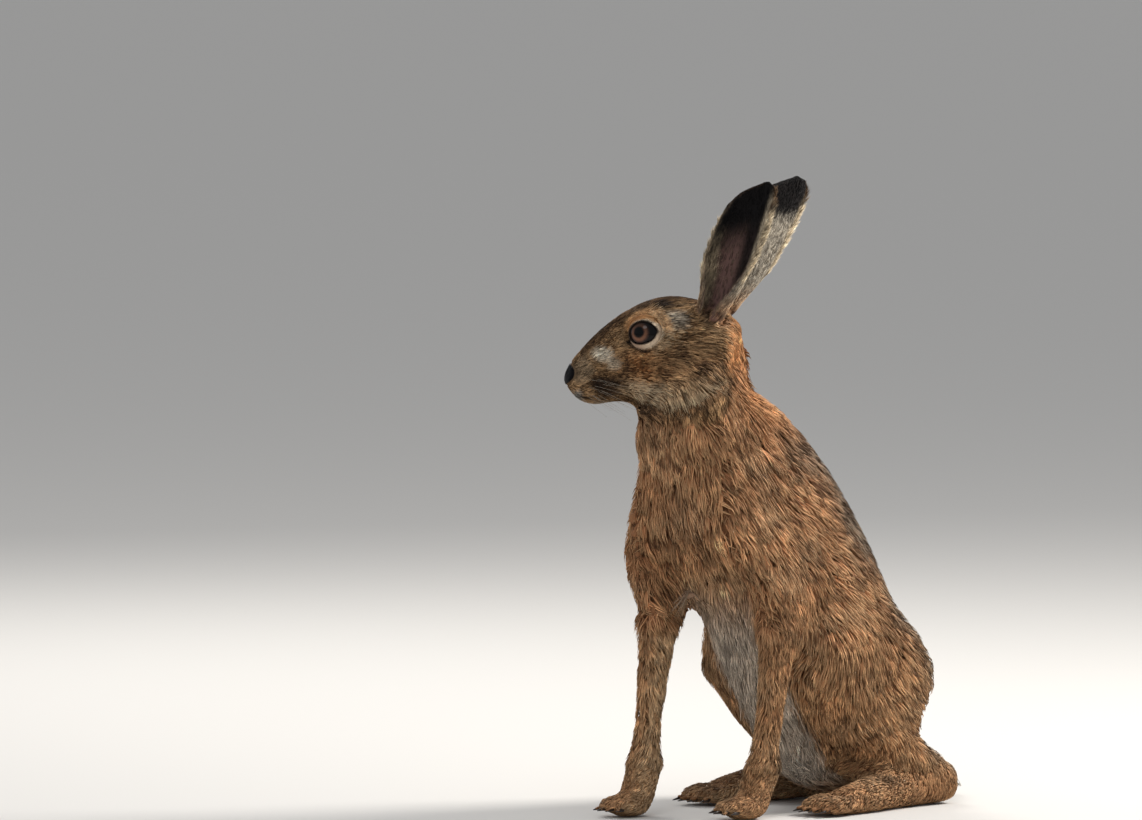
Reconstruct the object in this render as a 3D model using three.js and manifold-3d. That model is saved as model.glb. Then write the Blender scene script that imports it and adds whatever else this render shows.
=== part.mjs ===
// A brown hare sitting upright on its haunches, life size, in millimetres.
// +Z is up, the trunk faces -X, and the head is turned to the animal's right.
// The soft body is one blended form, parted with thin cuts into head, neck, trunk, legs and tail.
// The ears are lofted cups, the eyes are balls in their sockets, and lids, lips, nostrils and claws
// are joined to, or cut from, the piece that carries them. All surfaces lie at the tips of the fur.
import * as THREE from 'three';
import { LoftGeometry } from 'three/addons/geometries/LoftGeometry.js';
import { mergeVertices } from 'three/addons/utils/BufferGeometryUtils.js';
import Module from 'manifold-3d';

const wasm = await Module();
wasm.setup();

const LEFT = - 1;
const RIGHT = 1;
const SIDES = [ LEFT, RIGHT ];
const UP = new THREE.Vector3( 0, 0, 1 );
const GAP = 0.3; // clearance between neighbouring pieces
const SPACE = 900; // larger than the animal, for half spaces
const UNDER = - 20; // below the ground, where blocks that reach through it end

// The distance between neighbouring surface points, and how far the joins between forms are rounded.
const CELL = { trunk: 13, tail: 10, neck: 9, leg: 8, head: 6 };
const ROUND = { body: 12, leg: 7, hock: 5, thigh: 12, skull: 6 };

// Lengths of flesh are given by stations along them, each with a centre, a half depth in the plane of
// bending and a half width across it. The trunk runs from the top of the neck over the back to the seat.
const TRUNK = [
	{ at: [ - 50, - 4, 304 ], deep: 22, wide: 22 },
	{ at: [ - 55, - 1, 284 ], deep: 28, wide: 26 },
	{ at: [ - 65, 0, 258 ], deep: 38, wide: 41 },
	{ at: [ - 36, 0, 222 ], deep: 57, wide: 50 },
	{ at: [ - 10, 0, 190 ], deep: 62, wide: 54 },
	{ at: [ 18, 0, 150 ], deep: 63, wide: 57 },
	{ at: [ 40, 0, 110 ], deep: 63, wide: 59 },
	{ at: [ 56, 0, 76 ], deep: 57, wide: 57 },
	{ at: [ 62, 0, 56 ], deep: 50, wide: 50 },
];
const TAIL = [
	{ at: [ 98, 0, 40 ], deep: 17, wide: 20 },
	{ at: [ 126, 0, 27 ], deep: 16, wide: 23 },
	{ at: [ 150, 0, 15 ], deep: 14, wide: 20 },
	{ at: [ 168, 0, 9 ], deep: 9, wide: 12 },
];

// The joints of the legs, with y outward from the midline. The right forepaw stands a step ahead.
const FORELEG = {
	[ LEFT ]: {
		shoulder: [ - 64, 34, 212 ],
		elbow: [ - 28, 43, 140 ],
		wrist: [ - 38, 36, 34 ],
		toe: [ - 56, 35, 8 ],
	},
	[ RIGHT ]: {
		shoulder: [ - 70, 34, 212 ],
		elbow: [ - 52, 44, 140 ],
		wrist: [ - 76, 35, 34 ],
		toe: [ - 93, 34, 8 ],
	},
};
const HINDLEG = {
	knee: [ 8, 50, 110 ],
	heel: [ 116, 45, 13.5 ],
	ball: [ 34, 53, 10.5 ],
	toe: [ 0, 55, 7.5 ],
};

// The stations of the legs, each at an offset from a joint, or at a share of the way to another one.
const UPPER_ARM = [
	{ joint: 'shoulder', offset: [ 16, - 6, 12 ], deep: 24, wide: 15 },
	{ joint: 'shoulder', offset: [ 12, 0, - 20 ], deep: 31, wide: 19 },
	{ joint: 'elbow', offset: [ - 6, - 2, 24 ], deep: 27, wide: 17 },
	{ joint: 'elbow', offset: [ 0, - 1, - 6 ], deep: 18, wide: 14 },
];
const FOREARM = [
	{ joint: 'elbow', deep: 18, wide: 14 },
	{ joint: 'elbow', towards: 'wrist', share: 0.35, deep: 13.5, wide: 11.5 },
	{ joint: 'elbow', towards: 'wrist', share: 0.7, deep: 10.5, wide: 9.5 },
	{ joint: 'wrist', deep: 10.5, wide: 10.5 },
];
const FOREPAW = [
	{ joint: 'wrist', deep: 10.5, wide: 10.5 },
	{ joint: 'wrist', offset: [ - 5, - 1, - 13 ], deep: 11, wide: 12.5 },
	{ joint: 'toe', offset: [ 6, 0, 0 ], deep: 9.5, wide: 13.5 },
	{ joint: 'toe', offset: [ - 4, 0, - 1 ], deep: 8.5, wide: 12.5 },
];
const SHANK = [
	{ joint: 'knee', offset: [ 6, - 2, - 14 ], deep: 20, wide: 15 },
	{ joint: 'knee', offset: [ 46, - 4, - 56 ], deep: 18, wide: 15 },
	{ joint: 'heel', offset: [ - 14, - 1, 14 ], deep: 13, wide: 12 },
	{ joint: 'heel', offset: [ 0, 0, 4 ], deep: 12, wide: 11 },
];
const HIND_FOOT = [
	{ joint: 'heel', offset: [ 3, 0, 0 ], deep: 14, wide: 12 },
	{ joint: 'heel', offset: [ - 40, 2, - 1 ], deep: 13.5, wide: 13 },
	{ joint: 'ball', offset: [ 6, 0, 0 ], deep: 12, wide: 15.5 },
	{ joint: 'toe', offset: [ 16, 0, 0 ], deep: 9.5, wide: 15.5 },
];

// Rounded masses: a centre, half lengths, a tip nose-down and a turn outward, in degrees.
const HAUNCH = { at: [ 54, 40, 88 ], radii: [ 58, 25, 46 ], tip: 16, turn: 4 };
const KNEE = { at: [ 20, 47, 103 ], radii: [ 28, 18, 25 ], tip: 20 };

// Four toes side by side on each paw, the outer ones a little further back, each with a claw.
const FORE_TOES = { across: [ - 10.5, - 3.8, 3.8, 10 ], ahead: 9, length: 12, radius: 5, claw: 7 };
const HIND_TOES = { across: [ - 12.5, - 4.3, 4.3, 12 ], ahead: 0, length: 17, radius: 6, claw: 9 };
const TOE_FANS_BACK = 0.4; // of the distance from the middle of the paw
const TOE_SLOPE = - 7;
const CLAW = { radius: 1.5, slope: - 20 };

// How the head sits: turned from the trunk's own direction, about the nape. The head is built in its
// own frame, which has the nape as its origin. Heights are always measured from the ground.
const HEAD_TURN = THREE.MathUtils.degToRad( 55 );
const NAPE = new THREE.Vector3( - 44, - 12, 0 );
const SKULL = [
	{ at: [ - 104, 0, 283 ], deep: 8, wide: 7 },
	{ at: [ - 97, 0, 285 ], deep: 14.5, wide: 11 },
	{ at: [ - 88, 0, 288 ], deep: 20, wide: 14 },
	{ at: [ - 78, 0, 291.5 ], deep: 25, wide: 16.5 },
	{ at: [ - 66, 0, 296.5 ], deep: 29, wide: 18.5 },
	{ at: [ - 54, 0, 301 ], deep: 32, wide: 20.5 },
	{ at: [ - 40, 0, 305.5 ], deep: 33, wide: 23 },
	{ at: [ - 28, 0, 308.5 ], deep: 29, wide: 24 },
	{ at: [ - 20, 0, 310 ], deep: 22, wide: 21 },
];
const CHEEK = { at: [ - 38, 14, 290 ], radii: [ 25, 14, 22 ], tip: 12 };
const WHISKER_PAD = { at: [ - 93, 7, 277.5 ], radii: [ 12, 7.5, 9 ], tip: 14 };
const BROW = { at: [ - 53, 12.5, 323 ], radii: [ 13, 6.5, 4.5 ], tip: 12 };
const UNDER_EYE = { at: [ - 56, 15, 300 ], radii: [ 14, 7, 6 ], tip: 6 };
const CHIN = { at: [ - 92, 0, 271.5 ], radii: [ 11, 8, 5 ], tip: 10 };

// The eyes look out to the sides, a little ahead and upward. The lids are rings laid over them.
const EYE = { at: [ - 53.2, 13.6, 314 ], radius: 11, tilt: 12, ahead: 8, up: 6 };
const LIDS = { length: 19.6, upper: 7.8, lower: 7.2, thickness: 1.5 };
const MOUTH = { front: - 112, corner: - 82, height: 275.5, slope: - 14, wide: 60, open: 1, depth: 2.2 };
const CLEFT = { at: [ - 106, 0, 279.5 ], length: 16, height: 9 };
const NOSTRIL = { at: [ - 109.5, 4, 286.5 ], radii: [ 4, 1.3, 2 ], turn: 28 };

// The ears: each is a cup lofted along the line of its back, opening to the side and a little forward.
// Its sections are arcs, almost closed round the ear canal at the root and flatter towards the tip.
const EAR_BACK = [ [ - 10, 8, 326 ], [ 3, 12, 352 ], [ 14, 20, 382 ], [ 29, 33, 416 ] ];
const EAR_OPEN = [ - 0.35, 0.93, 0 ];
const EAR_HALF_WIDTHS = [ 7, 9.5, 12.6, 15.2, 16.8, 17, 15.4, 11.8, 3 ];
const EAR_WRAP = [ 150, 60 ]; // half of each arc, in degrees, at the root and at the tip
const EAR_UNWRAPPED = 0.62; // the share of the length at which the arcs are as flat as at the tip
const EAR_THICKNESS = [ 3.6, 2 ];
const EAR_TIP_SKEW = 6; // the point lies towards the rear rim
const EAR_LEVELS = 14;
const EAR_CROWDING = 1.3; // more than 1 brings the levels closer together towards the tip
const EAR_COLUMNS = 10;
const FAR_EAR_LEAN = 9; // the right ear is carried further back

// Planes that part the body, each with a point on it and a normal towards one of its two pieces.
const CUTS = {
	ground: { point: [ 0, 0, 0 ], normal: UP },
	throat: { point: [ 0, 0, 262 ], normal: UP },
	nape: { point: [ - 34, - 14, 318 ], normal: new THREE.Vector3( - 0.78, 0.36, 0.5 ) },
	neck: { point: [ 0, 0, 262 ], normal: new THREE.Vector3( - 0.33, 0, 1 ) },
	loin: { point: [ 8, 0, 172 ], normal: new THREE.Vector3( - 0.6, 0, 0.8 ) },
	rump: { point: [ 40, 0, 104 ], normal: new THREE.Vector3( - 0.5, 0, 0.87 ) },
	elbow: { point: [ 0, 0, 126 ], normal: UP },
	wrist: { point: [ 0, 0, 36 ], normal: UP },
	thigh: { point: [ - 10, 0, 96 ], normal: new THREE.Vector3( 0.4, 0, 1 ) },
	hock: { point: [ 0, 0, 29 ], normal: new THREE.Vector3( - 0.05, 0, 1 ) },
};

// The spaces that the limbs and the tail take out of the body: ellipsoids, a column and blocks.
const ARM_SPACE = {
	[ LEFT ]: { at: [ - 44, 60, 184 ], radii: [ 37, 34, 68 ], tip: - 26 },
	[ RIGHT ]: { at: [ - 60, 60, 184 ], radii: [ 37, 34, 68 ], tip: - 26 },
};
const THIGH_SPACE = { at: [ 48, 66, 92 ], radii: [ 68, 38, 54 ], tip: 14 };
const FOREARM_SPACE = { behindToe: 14, under: - 22, upper: 21, lower: 26 };
const PAW_SPACE = { front: - 150, behindToe: 32, across: [ 4, 84 ], up: [ UNDER, 60 ] };
const SHANK_SPACE = { along: [ - 16, 134 ], across: [ 27, 100 ], up: [ 0, 130 ] };
const FOOT_SPACE = { along: [ - 24, 134 ], across: [ 27, 100 ], up: [ UNDER, 60 ] };
const TAIL_SPACE = { along: [ 104, 200 ], across: [ - 26, 26 ], up: [ UNDER, 60 ] };

// The boxes in which the body's surface is meshed, each larger than the pieces taken from it.
const TRUNK_BOX = { along: [ - 140, 180 ], across: [ - 88, 88 ], up: [ - 13, 352 ] };
const NECK_BOX = { along: [ - 140, 60 ], across: [ - 84, 84 ], up: [ 206, 352 ] };
const TAIL_BOX = { along: [ 80, 200 ], across: [ - 40, 40 ], up: [ - 12, 80 ] };
const FORELEG_BOX = { along: [ - 130, 16 ], across: [ 4, 76 ], up: [ - 10, 148 ] };
const HINDLEG_BOX = { along: [ - 64, 140 ], across: [ 10, 88 ], up: [ - 10, 122 ] };
const HEAD_BOX = { along: [ - 136, 30 ], across: [ - 48, 100 ], up: [ 248, 360 ] };

// Colours by the first letters of a piece's name. The rest of the coat is russet.
const RUSSET = 0xb07a48;
const COAT = {
	head: 0x9c7a54,
	ear: 0x8b7b68,
	eye: 0x7a4a1e,
	loin: 0x8a6c4c,
	rump: 0x7d6448,
	tail: 0xd8d0c4,
};
const FUR_ROUGHNESS = 0.85;
const EYE_ROUGHNESS = 0.05;

const degrees = THREE.MathUtils.degToRad;
const onSide = ( side, [ x, y, z ] ) => [ x, side * y, z ];

// Fields. Each is a function of a point, negative inside its form and about a distance in millimetres.

// Further than this from a form's own box, the distance to the box is near enough.
const FAR = 30;

function withBounds( field, low, high ) {

	return ( x, y, z ) => {

		const dx = Math.max( low[ 0 ] - x, 0, x - high[ 0 ] );
		const dy = Math.max( low[ 1 ] - y, 0, y - high[ 1 ] );
		const dz = Math.max( low[ 2 ] - z, 0, z - high[ 2 ] );
		const away = Math.hypot( dx, dy, dz );
		return away > FAR ? away : field( x, y, z );

	};

}

// The short straight lengths that a smooth line of stations is made of, each with its own axes.
const LENGTHS_BETWEEN_STATIONS = 4;

function lengthsOf( stations ) {

	const line = new THREE.CatmullRomCurve3( stations.map( ( s ) => new THREE.Vector3( ...s.at ) ) );
	const size = new THREE.CatmullRomCurve3( stations.map( ( s ) => new THREE.Vector3( s.deep, s.wide, 0 ) ) );
	const count = ( stations.length - 1 ) * LENGTHS_BETWEEN_STATIONS;
	return Array.from( { length: count }, ( _, i ) => {

		const start = line.getPoint( i / count );
		const run = line.getPoint( ( i + 1 ) / count ).sub( start );
		const ahead = run.clone().normalize();
		const side = new THREE.Vector3( 0, 1, 0 ).addScaledVector( ahead, - ahead.y ).normalize();
		const back = new THREE.Vector3().crossVectors( ahead, side );
		const from = size.getPoint( i / count );
		const to = size.getPoint( ( i + 1 ) / count );
		const reach = Math.max( from.x, from.y, to.x, to.y ) + run.length();
		return { start, run, ahead, side, back, from, to, reach, square: run.lengthSq() };

	} );

}

// The distance from a point to one length, whose sections are ellipses.
function distanceTo( { start, run, ahead, side, back, from, to, square }, x, y, z ) {

	let qx = x - start.x;
	let qy = y - start.y;
	let qz = z - start.z;
	const share = Math.min( 1, Math.max( 0, ( qx * run.x + qy * run.y + qz * run.z ) / square ) );
	qx -= share * run.x;
	qy -= share * run.y;
	qz -= share * run.z;
	const deep = from.x + share * ( to.x - from.x );
	const wide = from.y + share * ( to.y - from.y );
	const least = Math.min( deep, wide );
	const past = ( qx * ahead.x + qy * ahead.y + qz * ahead.z ) / least;
	const across = ( qx * side.x + qy * side.y + qz * side.z ) / wide;
	const depth = ( qx * back.x + qy * back.y + qz * back.z ) / deep;
	const rim = Math.hypot( past, across, depth );
	return rim > 0 ? Math.hypot( qx, qy, qz ) * ( 1 - 1 / rim ) : - least;

}

function flesh( stations ) {

	const lengths = lengthsOf( stations );
	const axes = [ 'x', 'y', 'z' ];
	const low = axes.map( ( axis ) => Math.min( ...lengths.map( ( g ) => g.start[ axis ] - g.reach ) ) );
	const high = axes.map( ( axis ) => Math.max( ...lengths.map( ( g ) => g.start[ axis ] + g.reach ) ) );
	const field = ( x, y, z ) => {

		let nearest = Infinity;
		for ( const length of lengths ) nearest = Math.min( nearest, distanceTo( length, x, y, z ) );
		return nearest;

	};

	return withBounds( field, low, high );

}

function mass( { at, radii, tip = 0, turn = 0 }, side = RIGHT ) {

	const [ cx, cy, cz ] = onSide( side, at );
	const spin = new THREE.Euler( 0, degrees( tip ), degrees( side * turn ), 'ZYX' );
	const axes = [ new THREE.Vector3(), new THREE.Vector3(), new THREE.Vector3() ];
	new THREE.Matrix4().makeRotationFromEuler( spin ).extractBasis( ...axes );
	const [ a, b, c ] = axes.map( ( axis, k ) => axis.divideScalar( radii[ k ] ) );
	const field = ( x, y, z ) => {

		const qx = x - cx;
		const qy = y - cy;
		const qz = z - cz;
		const along = qx * a.x + qy * a.y + qz * a.z;
		const across = qx * b.x + qy * b.y + qz * b.z;
		const up = qx * c.x + qy * c.y + qz * c.z;
		const rim = Math.hypot( along, across, up );
		return rim > 0 ? Math.hypot( qx, qy, qz ) * ( 1 - 1 / rim ) : - Math.min( ...radii );

	};

	const reach = Math.max( ...radii );
	const low = [ cx - reach, cy - reach, cz - reach ];
	const high = [ cx + reach, cy + reach, cz + reach ];
	return withBounds( field, low, high );

}

const grown = ( field, by ) => ( x, y, z ) => field( x, y, z ) - by;

// The union of fields, rounded over where two of them meet.
function blended( roundness, ...fields ) {

	return ( x, y, z ) => fields.reduce( ( value, field ) => {

		const other = field( x, y, z );
		const close = Math.max( roundness - Math.abs( value - other ), 0 );
		return Math.min( value, other ) - close * close / ( 4 * roundness );

	}, SPACE );

}

// Surfaces. The eight corners of a grid cell, its edges and the edges round each of its faces.
const CORNERS = [ 0, 1, 2, 3, 4, 5, 6, 7 ].map( ( c ) => [ c & 1, ( c >> 1 ) & 1, ( c >> 2 ) & 1 ] );
const EDGES = CORNERS.flatMap( ( corner, c ) => [ 0, 1, 2 ].filter( ( axis ) => ! corner[ axis ] )
	.map( ( axis ) => ( { from: c, to: c | ( 1 << axis ), axis } ) ) );
const FACES = [ 0, 1, 2 ].flatMap( ( axis ) => [ 0, 1 ].map( ( end ) => EDGES.filter(
	( e ) => CORNERS[ e.from ][ axis ] === end && CORNERS[ e.to ][ axis ] === end ) ) );
const KEYS = 3 * CORNERS.length; // one for each axis and corner of a cell

// The edges that the surface crosses in a cell, in one group for each sheet of it.
function sheetsOf( at ) {

	const sheet = new Map();
	const inside = ( corner ) => at[ corner ] < 0;
	EDGES.filter( ( edge ) => inside( edge.from ) !== inside( edge.to ) )
		.forEach( ( edge ) => sheet.set( edge, new Set( [ edge ] ) ) );
	const join = ( a, b ) => {

		if ( sheet.get( a ) === sheet.get( b ) ) return;
		for ( const edge of sheet.get( b ) ) sheet.set( edge, sheet.get( a ).add( edge ) );

	};

	for ( const face of FACES ) {

		const crossed = face.filter( ( edge ) => sheet.has( edge ) );
		if ( crossed.length === 2 ) join( ...crossed );
		if ( crossed.length !== 4 ) continue;
		for ( const edge of crossed ) {

			const corner = inside( edge.from ) ? edge.from : edge.to;
			crossed.filter( ( other ) => other.from === corner || other.to === corner )
				.forEach( ( other ) => join( edge, other ) );

		}

	}

	return new Set( sheet.values() );

}

// The surface where a field is zero, in a box, as a closed geometry: one point for each sheet of the
// surface in a cell, drawn onto the surface, and two triangles for each grid edge that it crosses.
function surfaceOf( field, { along, across, up }, cell ) {

	const low = [ along[ 0 ], across[ 0 ], up[ 0 ] ];
	const size = [ along, across, up ].map( ( [ start, end ] ) => Math.ceil( ( end - start ) / cell ) + 1 );
	const stride = [ 1, size[ 0 ], size[ 0 ] * size[ 1 ] ];
	const values = sampled( field, low, size, cell );
	const points = [];
	const pointOf = new Map();
	for ( const [ i, j, k ] of gridOf( size, 1 ) ) {

		const base = i + j * stride[ 1 ] + k * stride[ 2 ];
		const at = CORNERS.map( ( c ) => values[ base + c[ 0 ] + c[ 1 ] * stride[ 1 ] + c[ 2 ] * stride[ 2 ] ] );
		if ( at.every( ( v ) => v < 0 ) || at.every( ( v ) => v >= 0 ) ) continue;
		const rim = [ i, j, k ].some( ( v, m ) => v === 0 || v === size[ m ] - 2 );
		for ( const sheet of sheetsOf( at ) ) {

			const inCell = [ 0, 0, 0 ];
			for ( const { from, to, axis } of sheet ) {

				const crossing = [ ...CORNERS[ from ] ];
				crossing[ axis ] = at[ from ] / ( at[ from ] - at[ to ] );
				crossing.forEach( ( v, m ) => inCell[ m ] += v / sheet.size );
				pointOf.set( base * KEYS + from * 3 + axis, points.length / 3 );

			}

			const start = [ i, j, k ].map( ( v, m ) => low[ m ] + ( v + inCell[ m ] ) * cell );
			points.push( ...( rim ? start : drawnOnto( field, start, cell ) ) );

		}

	}

	return new THREE.BufferGeometry()
		.setAttribute( 'position', new THREE.Float32BufferAttribute( points, 3 ) )
		.setIndex( facesOf( values, size, stride, points, pointOf ) );

}

function* gridOf( size, short ) {

	for ( let k = 0; k < size[ 2 ] - short; k ++ )
		for ( let j = 0; j < size[ 1 ] - short; j ++ )
			for ( let i = 0; i < size[ 0 ] - short; i ++ ) yield [ i, j, k ];

}

// The field at each grid point, kept positive on the outermost ones, which closes the surface there.
function sampled( field, low, size, cell ) {

	const values = new Float32Array( size[ 0 ] * size[ 1 ] * size[ 2 ] );
	let n = 0;
	for ( const at of gridOf( size, 0 ) ) {

		const value = field( ...at.map( ( v, m ) => low[ m ] + v * cell ) );
		const rim = at.some( ( v, m ) => v === 0 || v === size[ m ] - 1 );
		values[ n ++ ] = rim ? Math.max( value, cell / 2 ) : value;

	}

	return values;

}

function facesOf( values, size, stride, points, pointOf ) {

	const faces = [];
	const apart = ( a, b, m ) => points[ 3 * a + m ] - points[ 3 * b + m ];
	const far = ( a, b ) => Math.hypot( apart( a, b, 0 ), apart( a, b, 1 ), apart( a, b, 2 ) );
	for ( const [ i, j, k ] of gridOf( size, 1 ) ) {

		const base = i + j * stride[ 1 ] + k * stride[ 2 ];
		const inside = values[ base ] < 0;
		for ( const axis of [ 0, 1, 2 ] ) {

			if ( inside === values[ base + stride[ axis ] ] < 0 ) continue;
			const u = ( axis + 1 ) % 3;
			const v = ( axis + 2 ) % 3;
			const ring = [ [ 0, 0 ], [ 1, 0 ], [ 1, 1 ], [ 0, 1 ] ].map( ( [ du, dv ] ) => pointOf.get(
				( base - du * stride[ u ] - dv * stride[ v ] ) * KEYS
					+ ( ( du << u ) | ( dv << v ) ) * 3 + axis ) );
			const [ a, b, c, d ] = inside ? ring : ring.reverse();
			if ( far( a, c ) < far( b, d ) ) faces.push( a, b, c, a, c, d );
			else faces.push( a, b, d, b, c, d );

		}

	}

	return faces;

}

// Moves a point along the slope of a field until it lies on the surface, at most half a cell.
function drawnOnto( field, start, cell ) {

	const step = 0.4;
	const flat = 0.05;
	const point = [ ...start ];
	for ( let round = 0; round < 2; round ++ ) {

		const value = field( ...point );
		const slope = [ 0, 1, 2 ].map( ( m ) => {

			const beside = [ ...point ];
			beside[ m ] += step;
			return ( field( ...beside ) - value ) / step;

		} );
		const steep = slope.reduce( ( s, v ) => s + v * v, 0 );
		if ( steep < flat ) return point;
		point.forEach( ( v, m ) => point[ m ] = v - value * slope[ m ] / steep );

	}

	const moved = Math.hypot( ...point.map( ( v, m ) => v - start[ m ] ) );
	return moved < cell / 2 ? point : start;

}

// Solids: closed geometries that can be joined and cut.

function solidOf( geometry ) {

	const bare = new THREE.BufferGeometry().setIndex( geometry.index );
	bare.setAttribute( 'position', geometry.attributes.position );
	const merged = mergeVertices( bare, 1e-4 );
	return new wasm.Manifold( new wasm.Mesh( {
		numProp: 3,
		vertProperties: merged.attributes.position.array,
		triVerts: new Uint32Array( merged.index.array ),
	} ) );

}

const fieldSolid = ( field, box, cell ) => solidOf( surfaceOf( field, box, cell ) );
const all = ( ...solids ) => solids.reduce( ( a, b ) => a.intersect( b ) );
const joined = ( ...solids ) => solids.reduce( ( a, b ) => a.add( b ) );
const without = ( solid, ...others ) => others.reduce( ( a, b ) => a.subtract( b ), solid );
const largest = ( solid ) => solid.decompose().reduce( ( a, b ) => a.volume() > b.volume() ? a : b );

// Everything on the side of a plane that its normal points to, from shift past a point of the plane.
function halfSpace( point, normal, shift ) {

	const box = new THREE.BoxGeometry( SPACE, SPACE, SPACE ).translate( 0, 0, SPACE / 2 + shift );
	box.applyQuaternion( new THREE.Quaternion().setFromUnitVectors( UP, normal.clone().normalize() ) );
	return solidOf( box.translate( ...point ) );

}

// What lies on a cut's near side, or its far side, kept half a gap clear of it. A claim widens it.
const CLEAR = - GAP / 2;
const CLAIM = GAP / 2;
const above = ( cut, claim = CLEAR ) => halfSpace( CUTS[ cut ].point, CUTS[ cut ].normal, - claim );
const below = ( cut, claim = CLEAR ) =>
	halfSpace( CUTS[ cut ].point, CUTS[ cut ].normal.clone().negate(), - claim );

// A box on one side of the animal, given with y outward from the midline.
function boxOn( side, { along, across, up } ) {

	return { along, across: across.map( ( y ) => side * y ).sort( ( a, b ) => a - b ), up };

}

function block( { along, across, up } ) {

	const ranges = [ along, across, up ];
	const size = ranges.map( ( [ start, end ] ) => end - start );
	const middle = ranges.map( ( [ start, end ] ) => ( start + end ) / 2 );
	return solidOf( new THREE.BoxGeometry( ...size ).translate( ...middle ) );

}

function ellipsoid( side, { at, radii, tip }, claim ) {

	const ball = new THREE.SphereGeometry( 1, 16, 10 ).scale( ...radii.map( ( r ) => r + claim ) );
	return solidOf( ball.rotateY( degrees( tip ) ).translate( ...onSide( side, at ) ) );

}

// The forms of the body, each as a field.

function limb( side, joints, sections ) {

	return flesh( sections.map( ( { joint, towards = joint, share = 0, offset = [ 0, 0, 0 ], deep, wide } ) => {

		const at = joints[ joint ].map( ( v, k ) => v + share * ( joints[ towards ][ k ] - v ) + offset[ k ] );
		return { at: onSide( side, at ), deep, wide };

	} ) );

}

const foreleg = ( side ) => blended( ROUND.leg,
	limb( side, FORELEG[ side ], UPPER_ARM ),
	limb( side, FORELEG[ side ], FOREARM ),
	limb( side, FORELEG[ side ], FOREPAW ) );

const hindleg = ( side ) => blended( ROUND.leg,
	blended( ROUND.thigh, mass( HAUNCH, side ), mass( KNEE, side ) ),
	blended( ROUND.hock, limb( side, HINDLEG, SHANK ), limb( side, HINDLEG, HIND_FOOT ) ) );

const pair = ( form ) => SIDES.map( ( side ) => mass( form, side ) );
const skull = blended( ROUND.skull,
	flesh( SKULL ), mass( CHIN ), ...[ CHEEK, WHISKER_PAD, BROW, UNDER_EYE ].flatMap( pair ) );

const turnOfHead = new THREE.Matrix4().makeTranslation( NAPE.x, NAPE.y, NAPE.z )
	.multiply( new THREE.Matrix4().makeRotationZ( - HEAD_TURN ) );
const COS_TURN = Math.cos( HEAD_TURN );
const SIN_TURN = Math.sin( HEAD_TURN );

function headInBody( x, y, z ) {

	const dx = x - NAPE.x;
	const dy = y - NAPE.y;
	return skull( COS_TURN * dx - SIN_TURN * dy, SIN_TURN * dx + COS_TURN * dy, z );

}

const inHeadFrame = ( geometry ) => solidOf( geometry.applyMatrix4( turnOfHead ) );

const body = blended( ROUND.body,
	flesh( TRUNK ), ...SIDES.map( foreleg ), ...SIDES.map( hindleg ), flesh( TAIL ), headInBody );

// The space of each limb, widened by a claim, or kept clear of its neighbours by a negative one.

const widened = ( [ start, end ], claim ) => [ start - claim, end + claim ];
const armSpace = ( side, claim ) =>
	all( ellipsoid( side, ARM_SPACE[ side ], claim ), above( 'elbow', claim ) );
const thighSpace = ( side, claim ) =>
	all( ellipsoid( side, THIGH_SPACE, claim ), above( 'thigh', claim ) );

// A column round the foreleg, from the elbow down to below the ground.
function forearmSpace( side, claim ) {

	const { elbow, toe } = FORELEG[ side ];
	const { behindToe, under, upper, lower } = FOREARM_SPACE;
	const top = new THREE.Vector3( ...onSide( side, elbow ) );
	const foot = new THREE.Vector3( ...onSide( side, [ toe[ 0 ] + behindToe, toe[ 1 ], under ] ) );
	const axis = foot.sub( top );
	const length = axis.length();
	const column = new THREE.CylinderGeometry( upper + claim, lower + claim, length, 12 )
		.rotateX( - Math.PI / 2 ).translate( 0, 0, length / 2 )
		.applyQuaternion( new THREE.Quaternion().setFromUnitVectors( UP, axis.normalize() ) )
		.translate( ...top );
	return all( solidOf( column ), below( 'elbow', claim ), above( 'wrist', claim ) );

}

function pawSpace( side, claim ) {

	const { front, behindToe, across, up } = PAW_SPACE;
	const along = [ front, FORELEG[ side ].toe[ 0 ] + behindToe + claim ];
	return all( block( boxOn( side, { along, across, up } ) ), below( 'wrist', claim ) );

}

function shankSpace( side, claim ) {

	const { along, across, up } = SHANK_SPACE;
	const box = { along: widened( along, claim ), across: widened( across, claim ), up };
	return all( block( boxOn( side, box ) ), below( 'thigh', claim ), above( 'hock', claim ) );

}

function footSpace( side, claim ) {

	const { along, across, up } = FOOT_SPACE;
	const box = { along: widened( along, claim ), across: widened( across, claim ), up };
	return all( block( boxOn( side, box ) ), below( 'hock', claim ) );

}

function tailSpace( claim ) {

	const { along, across, up } = TAIL_SPACE;
	return block( {
		along: widened( along, claim ),
		across: widened( across, claim ),
		up: widened( up, claim ),
	} );

}

// The pieces.

const pieces = new Map();
const onGround = above( 'ground', 0 );
const wordOf = ( side ) => side === LEFT ? 'left' : 'right';
const wholeBody = all( fieldSolid( body, TRUNK_BOX, CELL.trunk ), onGround );

function toesOf( side, tip, { across, ahead, length, radius, claw } ) {

	return joined( ...across.flatMap( ( y ) => {

		const [ x0, y0, z0 ] = tip;
		const at = onSide( side, [ x0 + Math.abs( y ) * TOE_FANS_BACK - ahead, y0 + y, z0 ] );
		const toe = new THREE.SphereGeometry( 1, 7, 5 ).scale( length, radius, radius + 1 )
			.rotateY( degrees( TOE_SLOPE ) ).translate( ...at );
		const nail = new THREE.ConeGeometry( CLAW.radius, claw, 5 )
			.rotateZ( Math.PI / 2 ).rotateY( degrees( CLAW.slope ) )
			.translate( at[ 0 ] - length - claw / 10, at[ 1 ], at[ 2 ] - radius / 2.2 );
		return [ solidOf( toe ), solidOf( nail ) ];

	} ) );

}

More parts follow.
